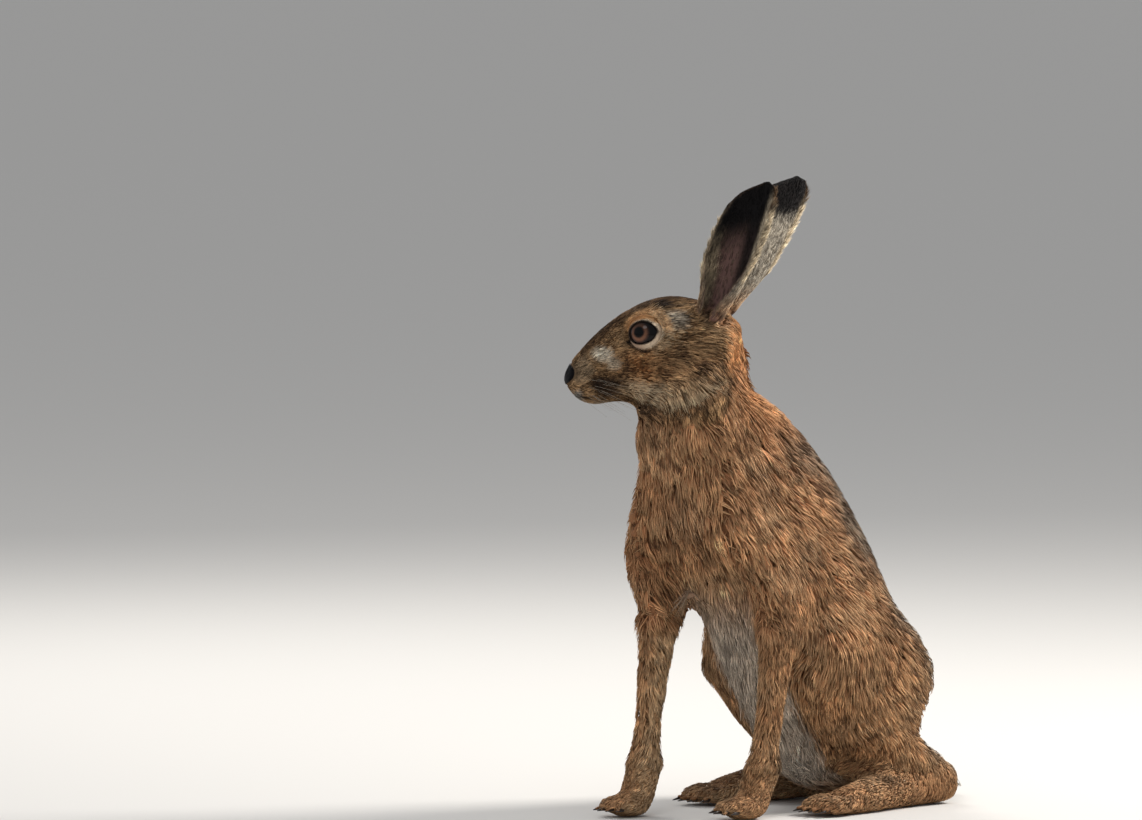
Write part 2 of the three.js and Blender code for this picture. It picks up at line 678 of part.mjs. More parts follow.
function addForeleg( side ) {

	const form = fieldSolid( body, boxOn( side, FORELEG_BOX ), CELL.leg );
	const hindSpaces = [ thighSpace( side, CLAIM ), shankSpace( side, CLAIM ) ];
	const paw = all( form, pawSpace( side, CLEAR ) ).add( toesOf( side, FORELEG[ side ].toe, FORE_TOES ) );
	pieces.set( `upper_arm_${ wordOf( side ) }`, all( wholeBody, armSpace( side, CLEAR ) ) );
	pieces.set( `forearm_${ wordOf( side ) }`,
		without( all( form, forearmSpace( side, CLEAR ) ), ...hindSpaces ) );
	pieces.set( `forepaw_${ wordOf( side ) }`, all( paw, onGround ) );

}

function addHindleg( side ) {

	const form = fieldSolid( body, boxOn( side, HINDLEG_BOX ), CELL.leg );
	const thigh = without( all( wholeBody, thighSpace( side, CLEAR ) ), armSpace( side, CLAIM ) );
	const foot = all( form, footSpace( side, CLEAR ) ).add( toesOf( side, HINDLEG.toe, HIND_TOES ) );
	pieces.set( `thigh_${ wordOf( side ) }`, thigh );
	pieces.set( `shank_${ wordOf( side ) }`,
		without( all( form, shankSpace( side, CLEAR ) ), tailSpace( CLAIM ) ) );
	pieces.set( `hind_foot_${ wordOf( side ) }`, without( all( foot, onGround ), pawSpace( side, CLAIM ) ) );

}

function addTrunk() {

	const spaces = [ armSpace, forearmSpace, pawSpace, shankSpace, footSpace, thighSpace ];
	const limbs = SIDES.flatMap( ( side ) => spaces.map( ( space ) => space( side, CLAIM ) ) );
	const bare = without( wholeBody, ...limbs );
	const head = all( above( 'nape', CLAIM ), above( 'throat', CLAIM ) );
	const throat = fieldSolid( body, NECK_BOX, CELL.neck );
	const tail = all( fieldSolid( body, TAIL_BOX, CELL.tail ), tailSpace( CLEAR ), onGround );
	pieces.set( 'neck', without( all( throat, above( 'neck' ) ), ...limbs, head ) );
	pieces.set( 'chest', all( bare, below( 'neck' ), above( 'loin' ) ) );
	pieces.set( 'loin', all( bare, below( 'loin' ), above( 'rump' ) ) );
	pieces.set( 'rump', without( all( bare, below( 'rump' ) ), tailSpace( CLAIM ) ) );
	pieces.set( 'tail', tail );

}

// Turns a form made round the eye's centre, looking along the side, as the eye looks.
const asEye = ( side, geometry ) => inHeadFrame( geometry
	.rotateY( degrees( - EYE.tilt ) )
	.rotateX( degrees( side * EYE.up ) )
	.rotateZ( degrees( side * EYE.ahead ) )
	.translate( ...onSide( side, EYE.at ) ) );

const eyeball = ( side, radius ) =>
	asEye( side, new THREE.SphereGeometry( radius, 16, 9 ).rotateX( Math.PI / 2 ) );

// A ring laid over the eyeball, in the shape of the opening between the lids.
function lids( side ) {

	const ring = new THREE.TorusGeometry( 1, 0.5, 6, 22 );
	const spots = ring.attributes.position;
	for ( let i = 0; i < spots.count; i ++ ) {

		const angle = Math.atan2( spots.getY( i ), spots.getX( i ) );
		const outward = 2 * LIDS.thickness * ( Math.hypot( spots.getX( i ), spots.getY( i ) ) - 1 );
		const raised = 2 * LIDS.thickness * spots.getZ( i );
		const x = LIDS.length / 2 * Math.cos( angle );
		const z = ( Math.sin( angle ) > 0 ? LIDS.upper : LIDS.lower ) * Math.sin( angle );
		const lift = Math.sqrt( EYE.radius ** 2 - x * x - z * z ) + raised;
		spots.setXYZ( i, x + outward * Math.cos( angle ), side * lift, z + outward * Math.sin( angle ) );

	}

	if ( side === RIGHT ) ring.index.array.reverse();
	return asEye( side, ring );

}

// The line of the mouth and the cleft of the lip, cut a little way into the skin.
function mouth() {

	const { front, corner, height, slope, wide, open, depth } = MOUTH;
	const core = fieldSolid( grown( headInBody, - depth ), HEAD_BOX, CELL.head );
	const line = new THREE.BoxGeometry( corner - front, wide, open )
		.rotateY( degrees( slope ) ).translate( ( corner + front ) / 2, 0, height );
	const cleft = new THREE.BoxGeometry( CLEFT.length, open, CLEFT.height ).translate( ...CLEFT.at );
	return without( inHeadFrame( line ).add( inHeadFrame( cleft ) ), core );

}

const nostril = ( side ) => inHeadFrame( new THREE.SphereGeometry( 1, 10, 6 ).scale( ...NOSTRIL.radii )
	.rotateZ( degrees( side * NOSTRIL.turn ) ).translate( ...onSide( side, NOSTRIL.at ) ) );

// The sections of an ear: the outer arc from one rim to the other, and the inner one back.
function earSections( side ) {

	const lean = side === RIGHT ? FAR_EAR_LEAN : 0;
	const spots = EAR_BACK.map( ( [ x, y, z ], k ) => [ x + lean * k / ( EAR_BACK.length - 1 ), y, z ] );
	const back = new THREE.CatmullRomCurve3(
		spots.map( ( spot ) => new THREE.Vector3( ...onSide( side, spot ) ) ) );
	const widths = new THREE.CatmullRomCurve3( EAR_HALF_WIDTHS.map( ( w, k ) => new THREE.Vector3( w, k, 0 ) ) );
	return Array.from( { length: EAR_LEVELS + 1 }, ( _, i ) => {

		const share = 1 - ( 1 - i / EAR_LEVELS ) ** EAR_CROWDING;
		const along = back.getTangentAt( share );
		const open = new THREE.Vector3( ...onSide( side, EAR_OPEN ) );
		open.addScaledVector( along, - open.dot( along ) ).normalize();
		const across = new THREE.Vector3().crossVectors( along, open );
		const wrap = degrees( THREE.MathUtils.lerp( ...EAR_WRAP, Math.min( 1, share / EAR_UNWRAPPED ) ) );
		const radius = widths.getPoint( share ).x / Math.sin( Math.min( wrap, Math.PI / 2 ) );
		const half = THREE.MathUtils.lerp( ...EAR_THICKNESS, share ) / 2;
		const middle = back.getPointAt( share ).addScaledVector( open, radius )
			.addScaledVector( across, - side * EAR_TIP_SKEW * share ** 6 );
		const arc = ( reach, from ) => Array.from( { length: EAR_COLUMNS }, ( _, k ) => {

			const angle = from * wrap * ( 1 - 2 * k / ( EAR_COLUMNS - 1 ) );
			return middle.clone().addScaledVector( open, - reach * Math.cos( angle ) )
				.addScaledVector( across, reach * Math.sin( angle ) );

		} );
		return [ ...arc( radius + half, 1 ), ...arc( radius - half, - 1 ) ];

	} );

}

function addHead() {

	const form = all( fieldSolid( body, HEAD_BOX, CELL.head ), above( 'nape' ), above( 'throat' ) );
	const sockets = SIDES.map( ( side ) => eyeball( side, EYE.radius + GAP ) );
	const head = without( joined( form, ...SIDES.map( lids ) ), ...sockets, ...SIDES.map( nostril ), mouth() );
	const skin = fieldSolid( grown( body, GAP ), HEAD_BOX, CELL.head );
	pieces.set( 'head', head );
	for ( const side of SIDES ) {

		const cup = inHeadFrame( new LoftGeometry( earSections( side ), { capStart: true, capEnd: true } ) );
		pieces.set( `eye_${ wordOf( side ) }`, eyeball( side, EYE.radius ) );
		pieces.set( `ear_${ wordOf( side ) }`, without( cup, skin, head ) );

	}

}

SIDES.forEach( addForeleg );
SIDES.forEach( addHindleg );
addTrunk();
addHead();

function materialOf( name ) {

	const key = Object.keys( COAT ).find( ( start ) => name.startsWith( start ) );
	const roughness = name.startsWith( 'eye' ) ? EYE_ROUGHNESS : FUR_ROUGHNESS;
	return new THREE.MeshStandardMaterial( { color: COAT[ key ] ?? RUSSET, roughness, metalness: 0 } );

}

function meshOf( solid, name ) {

	const { vertProperties, triVerts } = largest( solid ).getMesh();
	const geometry = new THREE.BufferGeometry()
		.setAttribute( 'position', new THREE.BufferAttribute( vertProperties.slice(), 3 ) )
		.setIndex( new THREE.BufferAttribute( triVerts.slice(), 1 ) );
	const mesh = new THREE.Mesh( geometry, materialOf( name ) );
	mesh.name = name;
	return mesh;

}

// The origin is on the ground, under the middle of the animal's outer box.
const hare = new THREE.Group();
for ( const [ name, solid ] of pieces ) hare.add( meshOf( solid, name ) );
const middle = new THREE.Box3().setFromObject( hare ).getCenter( new THREE.Vector3() );
hare.position.set( - middle.x, - middle.y, 0 );

export default hare;
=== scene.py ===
"""Brown hare sitting upright: one skin, a coat of fine tufts over it, eyes, nose, claws and whiskers."""

import math

import bmesh
import bpy
import numpy as np
from mathutils import Matrix, Vector
from mathutils.bvhtree import BVHTree
from mathutils.kdtree import KDTree


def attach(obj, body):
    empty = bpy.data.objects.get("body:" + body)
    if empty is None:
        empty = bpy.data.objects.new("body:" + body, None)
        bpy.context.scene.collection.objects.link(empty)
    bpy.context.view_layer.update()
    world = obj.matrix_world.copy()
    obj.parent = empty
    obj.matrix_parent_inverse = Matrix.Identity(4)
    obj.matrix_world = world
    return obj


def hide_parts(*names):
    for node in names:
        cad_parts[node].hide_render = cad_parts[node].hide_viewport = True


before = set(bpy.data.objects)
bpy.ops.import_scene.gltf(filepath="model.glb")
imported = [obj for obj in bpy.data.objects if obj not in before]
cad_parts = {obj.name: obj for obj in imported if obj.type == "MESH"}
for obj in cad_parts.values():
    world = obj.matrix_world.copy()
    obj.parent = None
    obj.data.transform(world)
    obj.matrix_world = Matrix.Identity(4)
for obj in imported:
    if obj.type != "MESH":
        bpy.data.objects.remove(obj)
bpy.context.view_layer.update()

MM = 0.001
SEED = 20417

# The hare is laid out in millimetres: the trunk faces -X, its left side is -Y, and the head has a frame
# of its own, with its origin at the nape and the nose towards -X, turned to the animal's right.
SHIFT = np.array((-28.815, -3.3415, 0.0))
NAPE = (-44.0, -12.0)
HEAD_TURN = math.radians(-55)
LEFT, RIGHT = -1, 1
SIDES = (("left", LEFT), ("right", RIGHT))

FLESH = ["head", "neck", "chest", "loin", "rump", "tail"] + [
    f"{part}_{side}"
    for side, _ in SIDES
    for part in ("ear", "upper_arm", "forearm", "forepaw", "thigh", "shank", "hind_foot")
]
EARS = ("ear_left", "ear_right")
TRUNK = ("neck", "chest", "loin", "rump")


def from_body(points):
    """Body millimetres to metres in the model's frame."""
    return (np.asarray(points, float) + SHIFT) * MM


def head_turned(points):
    """Head millimetres to body millimetres."""
    p = np.atleast_2d(np.asarray(points, float))
    c, s = math.cos(HEAD_TURN), math.sin(HEAD_TURN)
    return np.stack(
        (p[:, 0] * c - p[:, 1] * s + NAPE[0], p[:, 0] * s + p[:, 1] * c + NAPE[1], p[:, 2]), axis=1
    )


def from_head(points):
    """Head millimetres to metres in the model's frame."""
    return from_body(head_turned(points))


def to_body(points):
    return np.asarray(points, float) / MM - SHIFT


def to_head(points):
    b = to_body(points)
    x, y = b[:, 0] - NAPE[0], b[:, 1] - NAPE[1]
    c, s = math.cos(-HEAD_TURN), math.sin(-HEAD_TURN)
    return np.stack((x * c - y * s, x * s + y * c, b[:, 2]), axis=1)


def on_side(places, side):
    """Places given for the right side, on either side."""
    return np.array([(x, side * y, z) for x, y, z in places], float)


def turned_way(way):
    """A direction in the head's frame as one in the body's."""
    return head_turned(way)[0] - head_turned((0, 0, 0))[0]


def unit(v):
    v = np.asarray(v, float)
    return v / np.maximum(np.linalg.norm(v, axis=-1, keepdims=True), 1e-12)


def fade(low, high, value):
    """0 up to low and 1 from high on, with a soft passage between; low may be the larger of the two."""
    t = np.clip((value - low) / (high - low), 0, 1)
    return t * t * (3 - 2 * t)


def bell(value, middle, width):
    """1 where the value is the middle one, falling off softly to both sides."""
    return np.exp(-(((value - middle) / width) ** 2))


def srgb(r, g, b):
    """An 8-bit sRGB colour as linear light."""
    c = np.array((r, g, b), float) / 255
    return np.where(c <= 0.04045, c / 12.92, ((c + 0.055) / 1.055) ** 2.4)


# Meshes and their arrays


def read(rows, name, width, kind=float):
    values = np.empty(len(rows) * width, kind)
    rows.foreach_get(name, values)
    return values.reshape(-1, width)


def opened(mesh):
    """A mesh as a shape to edit."""
    shape = bmesh.new()
    shape.from_mesh(mesh)
    return shape


def closed(shape, mesh):
    """The shape written into a mesh, which is made if it is given by name."""
    if isinstance(mesh, str):
        mesh = bpy.data.meshes.new(mesh)
    shape.to_mesh(mesh)
    shape.free()
    return mesh


def added(name, data):
    """A new object of the scene."""
    obj = bpy.data.objects.new(name, data)
    bpy.context.scene.collection.objects.link(obj)
    return obj


def applied(obj):
    """Applies the object's modifiers."""
    graph = bpy.context.evaluated_depsgraph_get()
    mesh = bpy.data.meshes.new_from_object(obj.evaluated_get(graph))
    obj.modifiers.clear()
    obj.data = mesh


def piece(obj):
    """Sets a piece of the model on the body that it rides on."""
    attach(obj, "root")
    return obj


def finished(mesh, finish):
    """Gives a mesh smooth shading and its one material."""
    mesh.polygons.foreach_set("use_smooth", np.ones(len(mesh.polygons), bool))
    mesh.materials.clear()
    mesh.materials.append(finish)


def colour_points(mesh, colours):
    """Stores a colour for each point, which the fur's materials read."""
    rgba = np.concatenate((colours, np.ones((len(colours), 1))), axis=1)
    layer = mesh.color_attributes.new("coat", "FLOAT_COLOR", "POINT")
    layer.data.foreach_set("color", rgba.astype(np.float32).ravel())


class Shell:
    """The arrays of a triangle mesh: points in metres, triangles and edges."""

    def __init__(self, mesh):
        mesh.calc_loop_triangles()
        self.points = read(mesh.vertices, "co", 3)
        self.triangles = read(mesh.loop_triangles, "vertices", 3, int)
        self.edges = read(mesh.edges, "vertices", 2, int)
        self.mesh = mesh

    def write(self):
        self.mesh.vertices.foreach_set("co", self.points.ravel())
        self.mesh.update()

    def summed(self, at, values):
        """The sum at each point of the values that are given for it."""
        return np.bincount(at, weights=values, minlength=len(self.points))

    def normals(self):
        a, b, c = (self.points[corner] for corner in self.triangles.T)
        face = np.cross(b - a, c - a)
        total = np.zeros_like(self.points)
        for corner in self.triangles.T:
            for axis in range(3):
                total[:, axis] += self.summed(corner, face[:, axis])
        return unit(total)

    def relaxed(self, values, strength, rounds):
        """Each value moves towards the mean of its neighbours' by strength, a share for each point."""
        values = np.array(values, float)
        flat = values.reshape(len(values), -1)
        one, other = self.edges.T
        count = np.maximum(np.bincount(self.edges.ravel(), minlength=len(flat)), 1)
        for _ in range(rounds):
            for axis in range(flat.shape[1]):
                near = self.summed(one, flat[other, axis]) + self.summed(other, flat[one, axis])
                flat[:, axis] += strength * (near / count - flat[:, axis])
        return flat.reshape(values.shape)

    def smooth(self, strength, rounds):
        """Smooths without shrinking: each round in is followed by a slightly larger one out."""
        for _ in range(rounds):
            self.points = self.relaxed(self.points, strength, 1)
            self.points = self.relaxed(self.points, -OUT_AGAIN * np.asarray(strength), 1)


# The skin

# The grain of the skin's mesh, how far the nodes are grown into one another, the distance of points that
# are one, and how much larger the way out is than the way in when a surface is smoothed

VOXEL = 1.7 * MM
OVERLAP = 0.8 * MM
WELD = 1e-6
OUT_AGAIN = 1.06


def merged_node(name):
    node = opened(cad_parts[name].data)
    bmesh.ops.remove_doubles(node, verts=node.verts, dist=WELD)
    node.normal_update()
    return node


def flesh_mesh():
    """All flesh nodes in one mesh, each grown a little so that it overlaps its neighbours."""
    whole = bmesh.new()
    for name in FLESH:
        node = merged_node(name)
        for v in node.verts:
            v.co += v.normal * OVERLAP
        part = closed(node, name)
        whole.from_mesh(part)
        bpy.data.meshes.remove(part)
    return closed(whole, "flesh")


def largest_shell(mesh):
    """Keeps the largest connected surface."""
    shape = opened(mesh)
    left, shells = set(shape.verts), []
    while left:
        shell, edge = set(), [left.pop()]
        while edge:
            vertex = edge.pop()
            if vertex not in shell:
                shell.add(vertex)
                edge += [link.other_vert(vertex) for link in vertex.link_edges]
        left -= shell
        shells.append(shell)
    shells.sort(key=len)
    for shell in shells[:-1]:
        bmesh.ops.delete(shape, geom=list(shell), context="VERTS")
    closed(shape, mesh)


def refined(mesh, wanted):
    """Subdivides the faces whose points are all among the wanted ones, and splits all into triangles."""
    shape = opened(mesh)
    keep = wanted(np.array([v.co for v in shape.verts]))
    edges = [e for e in shape.edges if keep[e.verts[0].index] and keep[e.verts[1].index]]
    bmesh.ops.subdivide_edges(shape, edges=edges, cuts=1, use_grid_fill=True)
    bmesh.ops.triangulate(shape, faces=shape.faces, quad_method="BEAUTY", ngon_method="BEAUTY")
    closed(shape, mesh)


# The eyes: the ball's centre on the right side and its radius, how far in degrees its slit is tilted and
# it looks ahead and up, the slit's reach to the front, rear, top and bottom, the lids' height over the
# ball, the depth of the socket behind it, and how far round the slit the skin is drawn to the ball.

EYE_CENTRE = (-53.2, 13.6, 314.0)
EYE_RADIUS = 11.0
EYE_TILT, EYE_AHEAD, EYE_UP = 12.0, 8.0, 6.0
EYE_FRONT_LENGTH, EYE_REAR_LENGTH = 9.3, 8.2
UPPER_LID, LOWER_LID = 6.9, 6.5
LID_EDGE = 1.1
SOCKET_DEPTH = 3.2
LID_REACH = (1.5, 5.4)
CORNER_WIDTH = 2.6


def eye_centre(side):
    return on_side([EYE_CENTRE], side)[0]


def eye_axes(side):
    """The slit's direction towards the nose, the way up and the way out, in the head's frame."""
    ahead, up, tilt = (math.radians(a) for a in (EYE_AHEAD, EYE_UP, EYE_TILT))
    out = np.array((-math.sin(ahead), side * math.cos(ahead) * math.cos(up), math.sin(up)))
    out /= np.linalg.norm(out)
    level = np.cross(out, (0, 0, 1))
    level *= -np.sign(level[0])
    level = unit(level)
    rise = np.cross(level, out)
    rise *= np.sign(rise[2])
    nose_way = math.cos(tilt) * level - math.sin(tilt) * rise
    return nose_way, unit(math.sin(tilt) * level + math.cos(tilt) * rise), out


def eye_place(points, side):
    """Where points lie round an eye: along the slit, up, out, how many slit sizes from its middle, and how
    far outside the slit's edge."""
    at = to_head(points) - eye_centre(side)
    along, up, out = (at @ axis for axis in eye_axes(side))
    x = np.clip(np.where(along > 0, along / EYE_FRONT_LENGTH, -along / EYE_REAR_LENGTH), 0, 3)
    half = np.where(up > 0, UPPER_LID, LOWER_LID)
    slit = np.hypot(x, up / half) - 0.08 * bell(up, 0, CORNER_WIDTH) * fade(0.6, 1.3, x)
    return along, up, out, slit, np.hypot(along, up) * (1 - 1 / np.maximum(slit, 0.01))


def near_eyes(points):
    reach = np.full(len(points), np.inf)
    for _, side in SIDES:
        _, _, out, slit, _ = eye_place(points, side)
        reach = np.minimum(reach, np.where(out > -12, slit, np.inf))
    return reach


def ball_height(along, up):
    return np.sqrt(np.maximum(EYE_RADIUS**2 - along**2 - up**2, 0.0))


def set_eyes(shell):
    """Sinks the skin behind each eyeball in the slit, lays lids over the ball round it, and fills the
    hollow behind the slit's rear corner."""
    for _, side in SIDES:
        along, up, out, slit, gap = eye_place(shell.points, side)
        ball = ball_height(along, up)
        fold = 0.55 * bell(gap, 3.6, 0.7) * (up > -5)
        lid = ball + LID_EDGE * fade(0.98, 1.1, slit) - fold
        inside = ball - SOCKET_DEPTH
        target = np.where(slit < 1.0, inside + (ball - inside) * fade(0.94, 1.0, slit), lid)
        move = np.where(out > -1, (target - out) * (1 - fade(*LID_REACH, gap)), 0.0)
        hollow = (out <= -1) & (out > -14) & (gap > 0) & (gap < 2.8) & (along < 0)
        move = np.where(hollow, lid - 0.7 - out, move)
        shell.points += move[:, None] * turned_way(eye_axes(side)[2]) * MM


# Nose, lips and mouth, in the head's frame, and how wide and deep their lines are cut

NOSE_PAD = (-109.0, 0.0, 286.5)
NOSE_SIZE = (10.8, 13.5, 7.1)
NOSTRIL = ((-110.6, 1.9, 283.6), (-109.9, 3.6, 285.4), (-107.4, 5.4, 287.8))
CLEFT = ((-112.0, 0.0, 284.0), (-110.5, 0.0, 275.5))
MOUTH = ((-110.0, 0.0, 276.0), (-104.0, 5.6, 274.4), (-95.0, 9.5, 272.2), (-84.0, 12.5, 268.6))
CUTS = ((NOSTRIL, 1.3, 3.2), (CLEFT, 0.9, 2.0), (MOUTH, 1.0, 2.0))
WHISKER_PAD = ((-108, 5.5, 281), (-98, 9, 279))


def segment_gap(points, a, b):
    """Distance from each point to the straight line from a to b."""
    a, b = np.array(a), np.array(b)
    t = np.clip(((points - a) @ (b - a)) / ((b - a) @ (b - a)), 0, 1)
    return np.linalg.norm(points - (a + t[:, None] * (b - a)), axis=1)


def distance_to(points, line):
    """Distance from each point to a line of points, all in the same frame."""
    best = np.full(len(points), np.inf)
    for a, b in zip(line[:-1], line[1:]):
        best = np.minimum(best, segment_gap(points, a, b))
    return best


def mirrored(points):
    """Head-frame points folded onto the +Y side, for features that both sides have."""
    return np.stack((points[:, 0], np.abs(points[:, 1]), points[:, 2]), axis=1)


# The edge of the cheek's ruff over the throat, as x and z in the head's frame, from the chin to the ear

RUFF_EDGE = (
    (-74.8, 270.9), (-64.9, 272.6), (-53.7, 270.4), (-39.8, 270.2), (-26.4, 271.8),
    (-15.7, 275.8), (-6.7, 283.7), (0.8, 294.0), (4.4, 304.3), (6.4, 326.7),
)


def above_ruff_edge(head):
    """Distance from the edge of the ruff seen from the side: positive on the cheek, negative on the neck."""
    points = head[:, [0, 2]]
    nearest = np.full(len(points), np.inf)
    sign = np.ones(len(points))
    for a, b in zip(RUFF_EDGE[:-1], RUFF_EDGE[1:]):
        gap = segment_gap(points, a, b)
        left = (b[0] - a[0]) * (points[:, 1] - a[1]) - (b[1] - a[1]) * (points[:, 0] - a[0])
        sign = np.where(gap < nearest, np.sign(left), sign)
        nearest = np.minimum(gap, nearest)
    return nearest * sign


def ruff_share(head):
    """1 on the sides of the head and neck where the ruff is, 0 under the chin and at the nape."""
    x, y, z = mirrored(head).T
    return fade(5, 12, y) * fade(-80, -68, x) * fade(332, 318, z) * fade(240, 255, z)


def fold_throat(shell):
    """A shallow fold of the skin under the edge of the ruff."""
    head = to_head(shell.points)
    edge = above_ruff_edge(head)
    move = 0.9 * bell(edge, 6, 5.0) - 2.0 * bell(edge, -1.5, 3.2)
    shell.points += shell.normals() * (move * ruff_share(head))[:, None] * MM


def mouth_line(fold):
    """1 in the line of the mouth and in the cleft, 0 a little way off them."""
    gap = np.minimum(distance_to(fold, MOUTH), distance_to(fold, CLEFT) + 0.3)
    return fade(1.9, 0.9, gap)


def cut_face(shell):
    """Raises the nose and the pads of the whiskers, and cuts the nostrils, the cleft and the mouth."""
    head = mirrored(to_head(shell.points))
    near = head[:, 0] < -75
    depth = np.zeros(len(head))
    for line, width, deep in CUTS:
        depth += deep * bell(distance_to(head, line), 0, width)
    raised = 0.9 * spot(head, NOSE_PAD, NOSE_SIZE, 0.2) + 0.7 * bell(distance_to(head, WHISKER_PAD), 0, 4.0)
    move = np.where(near, raised - depth, 0.0)
    shell.points += shell.normals() * move[:, None] * MM


# What covers each part of the body: coat depth, tuft length, width, height of the tips, tufts on each
# square millimetre and rounds of smoothing, in millimetres.

COVER = {
    "head": (2.0, 8.5, 0.72, 2.0, 1.75, 4),
    "neck": (6.0, 16.0, 1.2, 5.5, 0.50, 14),
    "chest": (6.5, 18.0, 1.25, 6.0, 0.42, 22),
    "loin": (6.5, 18.0, 1.25, 6.0, 0.42, 22),
    "rump": (6.5, 18.0, 1.25, 6.0, 0.40, 22),
    "tail": (6.0, 15.0, 1.4, 5.5, 0.55, 14),
    "upper_arm": (5.5, 16.0, 1.2, 5.0, 0.45, 20),
    "forearm": (3.5, 11.0, 1.05, 3.2, 0.65, 12),
    "forepaw": (1.4, 4.4, 0.7, 1.2, 1.3, 3),
    "thigh": (6.0, 17.0, 1.25, 5.5, 0.40, 22),
    "shank": (4.5, 13.0, 1.2, 4.0, 0.50, 14),
    "hind_foot": (1.9, 5.8, 0.85, 1.6, 0.9, 4),
    "ear": (0.35, 6.0, 0.52, 0.5, 1.9, 8),
}


def part_of(name):
    return name.rsplit("_", 1)[0] if name.endswith(("_left", "_right")) else name


def among(owner, names):
    """Which points of the skin belong to the named nodes."""
    return np.isin(owner, [FLESH.index(name) for name in names])


def cover_of(owner):
    return np.array([COVER[part_of(FLESH[number])] for number in owner])


def nearest_nodes(points):
    """The number in FLESH of the node whose surface is nearest to each point."""
    verts, faces, owner = [], [], []
    for number, name in enumerate(FLESH):
        node = merged_node(name)
        start = len(verts)
        verts += [v.co.copy() for v in node.verts]
        faces += [[start + v.index for v in f.verts] for f in node.faces]
        owner += [number] * len(node.faces)
        node.free()
    tree = BVHTree.FromPolygons(verts, faces)
    return np.array([owner[tree.find_nearest(Vector(p))[2]] for p in points])


# The heights at which an ear's middle and width are measured, the way its cup opens in the head's frame,
# and where the rounding of its tip starts and how far it goes

EAR_LEVELS = 13
EAR_OPENING = (-0.35, 0.93)
EAR_ROUNDING = (0.86, 0.7)


def ear_frames(shell, owner):
    """For each ear: its points, how far up they are, the middle there, the ways of its opening and its front
    edge, how far across from -1 to 1 each point is, and the half width there."""
    points = to_body(shell.points)
    for name, side in SIDES:
        mine = among(owner, [f"ear_{name}"])
        z = points[mine, 2]
        low, high = z.min(), z.max()
        levels = np.linspace(low, high, EAR_LEVELS)
        middles = np.array([points[mine & (np.abs(points[:, 2] - h) < 6)].mean(axis=0) for h in levels])
        centre = np.stack([np.interp(z, levels, middles[:, k]) for k in range(3)], axis=1)
        opening = unit(turned_way((EAR_OPENING[0], side * EAR_OPENING[1], 0)))
        front = unit(np.cross(opening, (0, 0, 1)) * -side)
        across = (points[mine] - centre) @ front
        widest = np.array([np.abs(across[np.abs(z - level) < 4]).max() for level in levels])
        half = np.interp(z, levels, widest)
        yield mine, (z - low) / (high - low), centre, opening, front, across / half, half


def round_ear_tips(shell, owner):
    """Draws the corners of each ear's tip in, so that the tip is round."""
    for mine, up, _, _, front, across, half in ear_frames(shell, owner):
        start, share = EAR_ROUNDING
        t = np.clip((up - start) / (1 - start), 0, 1)
        move = across * half * (np.sqrt(1 - (share * t) ** 2) - 1)
        shell.points[mine] += move[:, None] * front * MM


# Steps of smoothing and of drawing the skin in, how much of a coat depth the ears are drawn in, and how
# near the eyes, and from where forward on the head, the skin is refined once and again

SMOOTHING_STEPS, INSET_STEPS = 22, 6
EAR_INSET = 0.6
FINE_EYES = (2.6, 2.2)
FINE_FACE = (-80, -96)


def make_skin():
    """One closed surface over the flesh, a coat depth inside it, with ear tips, throat, eyes and face."""
    skin = added("skin", flesh_mesh())
    remesh = skin.modifiers.new("one surface", "REMESH")
    remesh.mode = "VOXEL"
    remesh.voxel_size = VOXEL
    applied(skin)
    largest_shell(skin.data)
    shell = Shell(skin.data)
    owner = nearest_nodes(shell.points)
    depth, _, _, _, _, rounds = shell.relaxed(cover_of(owner), 0.5, 12).T
    ear = among(owner, EARS)
    for step in range(SMOOTHING_STEPS):
        shell.smooth(0.55 * np.clip(rounds - step, 0, 1), 1)
    inset = depth * MM * np.where(ear, EAR_INSET, 1.0) + 0.9 * OVERLAP
    for _ in range(INSET_STEPS):
        shell.points -= shell.normals() * inset[:, None] / INSET_STEPS
        shell.points = shell.relaxed(shell.points, np.where(ear, 0.05, 0.3), 1)
    round_ear_tips(shell, owner)
    shell.write()
    for reach in FINE_EYES:
        refined(skin.data, lambda p: near_eyes(p) < reach)
    for rear in FINE_FACE:
        refined(skin.data, lambda p: to_head(p)[:, 0] < rear)
    shell = Shell(skin.data)
    fine = (near_eyes(shell.points) < FINE_EYES[0]) | (to_head(shell.points)[:, 0] < FINE_FACE[0] + 2)
    shell.smooth(0.5 * fine, 6)
    fold_throat(shell)
    set_eyes(shell)
    cut_face(shell)
    shell.smooth(0.35 * fine, 1)
    shell.write()
    return skin, shell


# Markings. Each field is worked out at every point of the skin, and the coat reads it at its roots.

RUST = srgb(166, 116, 80)
RUST_DEEP = srgb(128, 82, 52)
# The nape's rust and tips, brighter than the coat round them: its own colour with painted light on it
LIT_NAPE_RUST = srgb(188, 128, 82)
LIT_NAPE_TIPS = srgb(208, 156, 108)
SAND = srgb(190, 156, 116)
BUFF = srgb(166, 128, 88)
CREAM = srgb(214, 196, 166)
WHITE = srgb(226, 220, 208)
BROWN = srgb(96, 70, 48)
DARK = srgb(34, 25, 20)
BLACK = srgb(9, 7, 8)
GREY = srgb(150, 140, 126)
OLIVE = srgb(112, 98, 80)
# Inside the ear: the skin painted dark as the shade in the cup, and deeper painted shade
SHADED_EAR_SKIN = srgb(108, 82, 76)
EAR_SHADE = srgb(38, 29, 27)
EAR_BACK = srgb(136, 127, 113)


class Markings:
    """Colour of the coat's visible band, colour of its tips, and the share of dark-tipped tufts."""

    def __init__(self, count):
        self.band = np.tile(RUST, (count, 1))
        self.tip = np.tile(SAND, (count, 1))
        self.tick = np.full(count, 0.2)

    def paint(self, share, band, tip, tick):
        share = np.clip(share, 0, 1)
        self.band += share[:, None] * (band - self.band)
        self.tip += share[:, None] * (tip - self.tip)
        self.tick += share * (tick - self.tick)


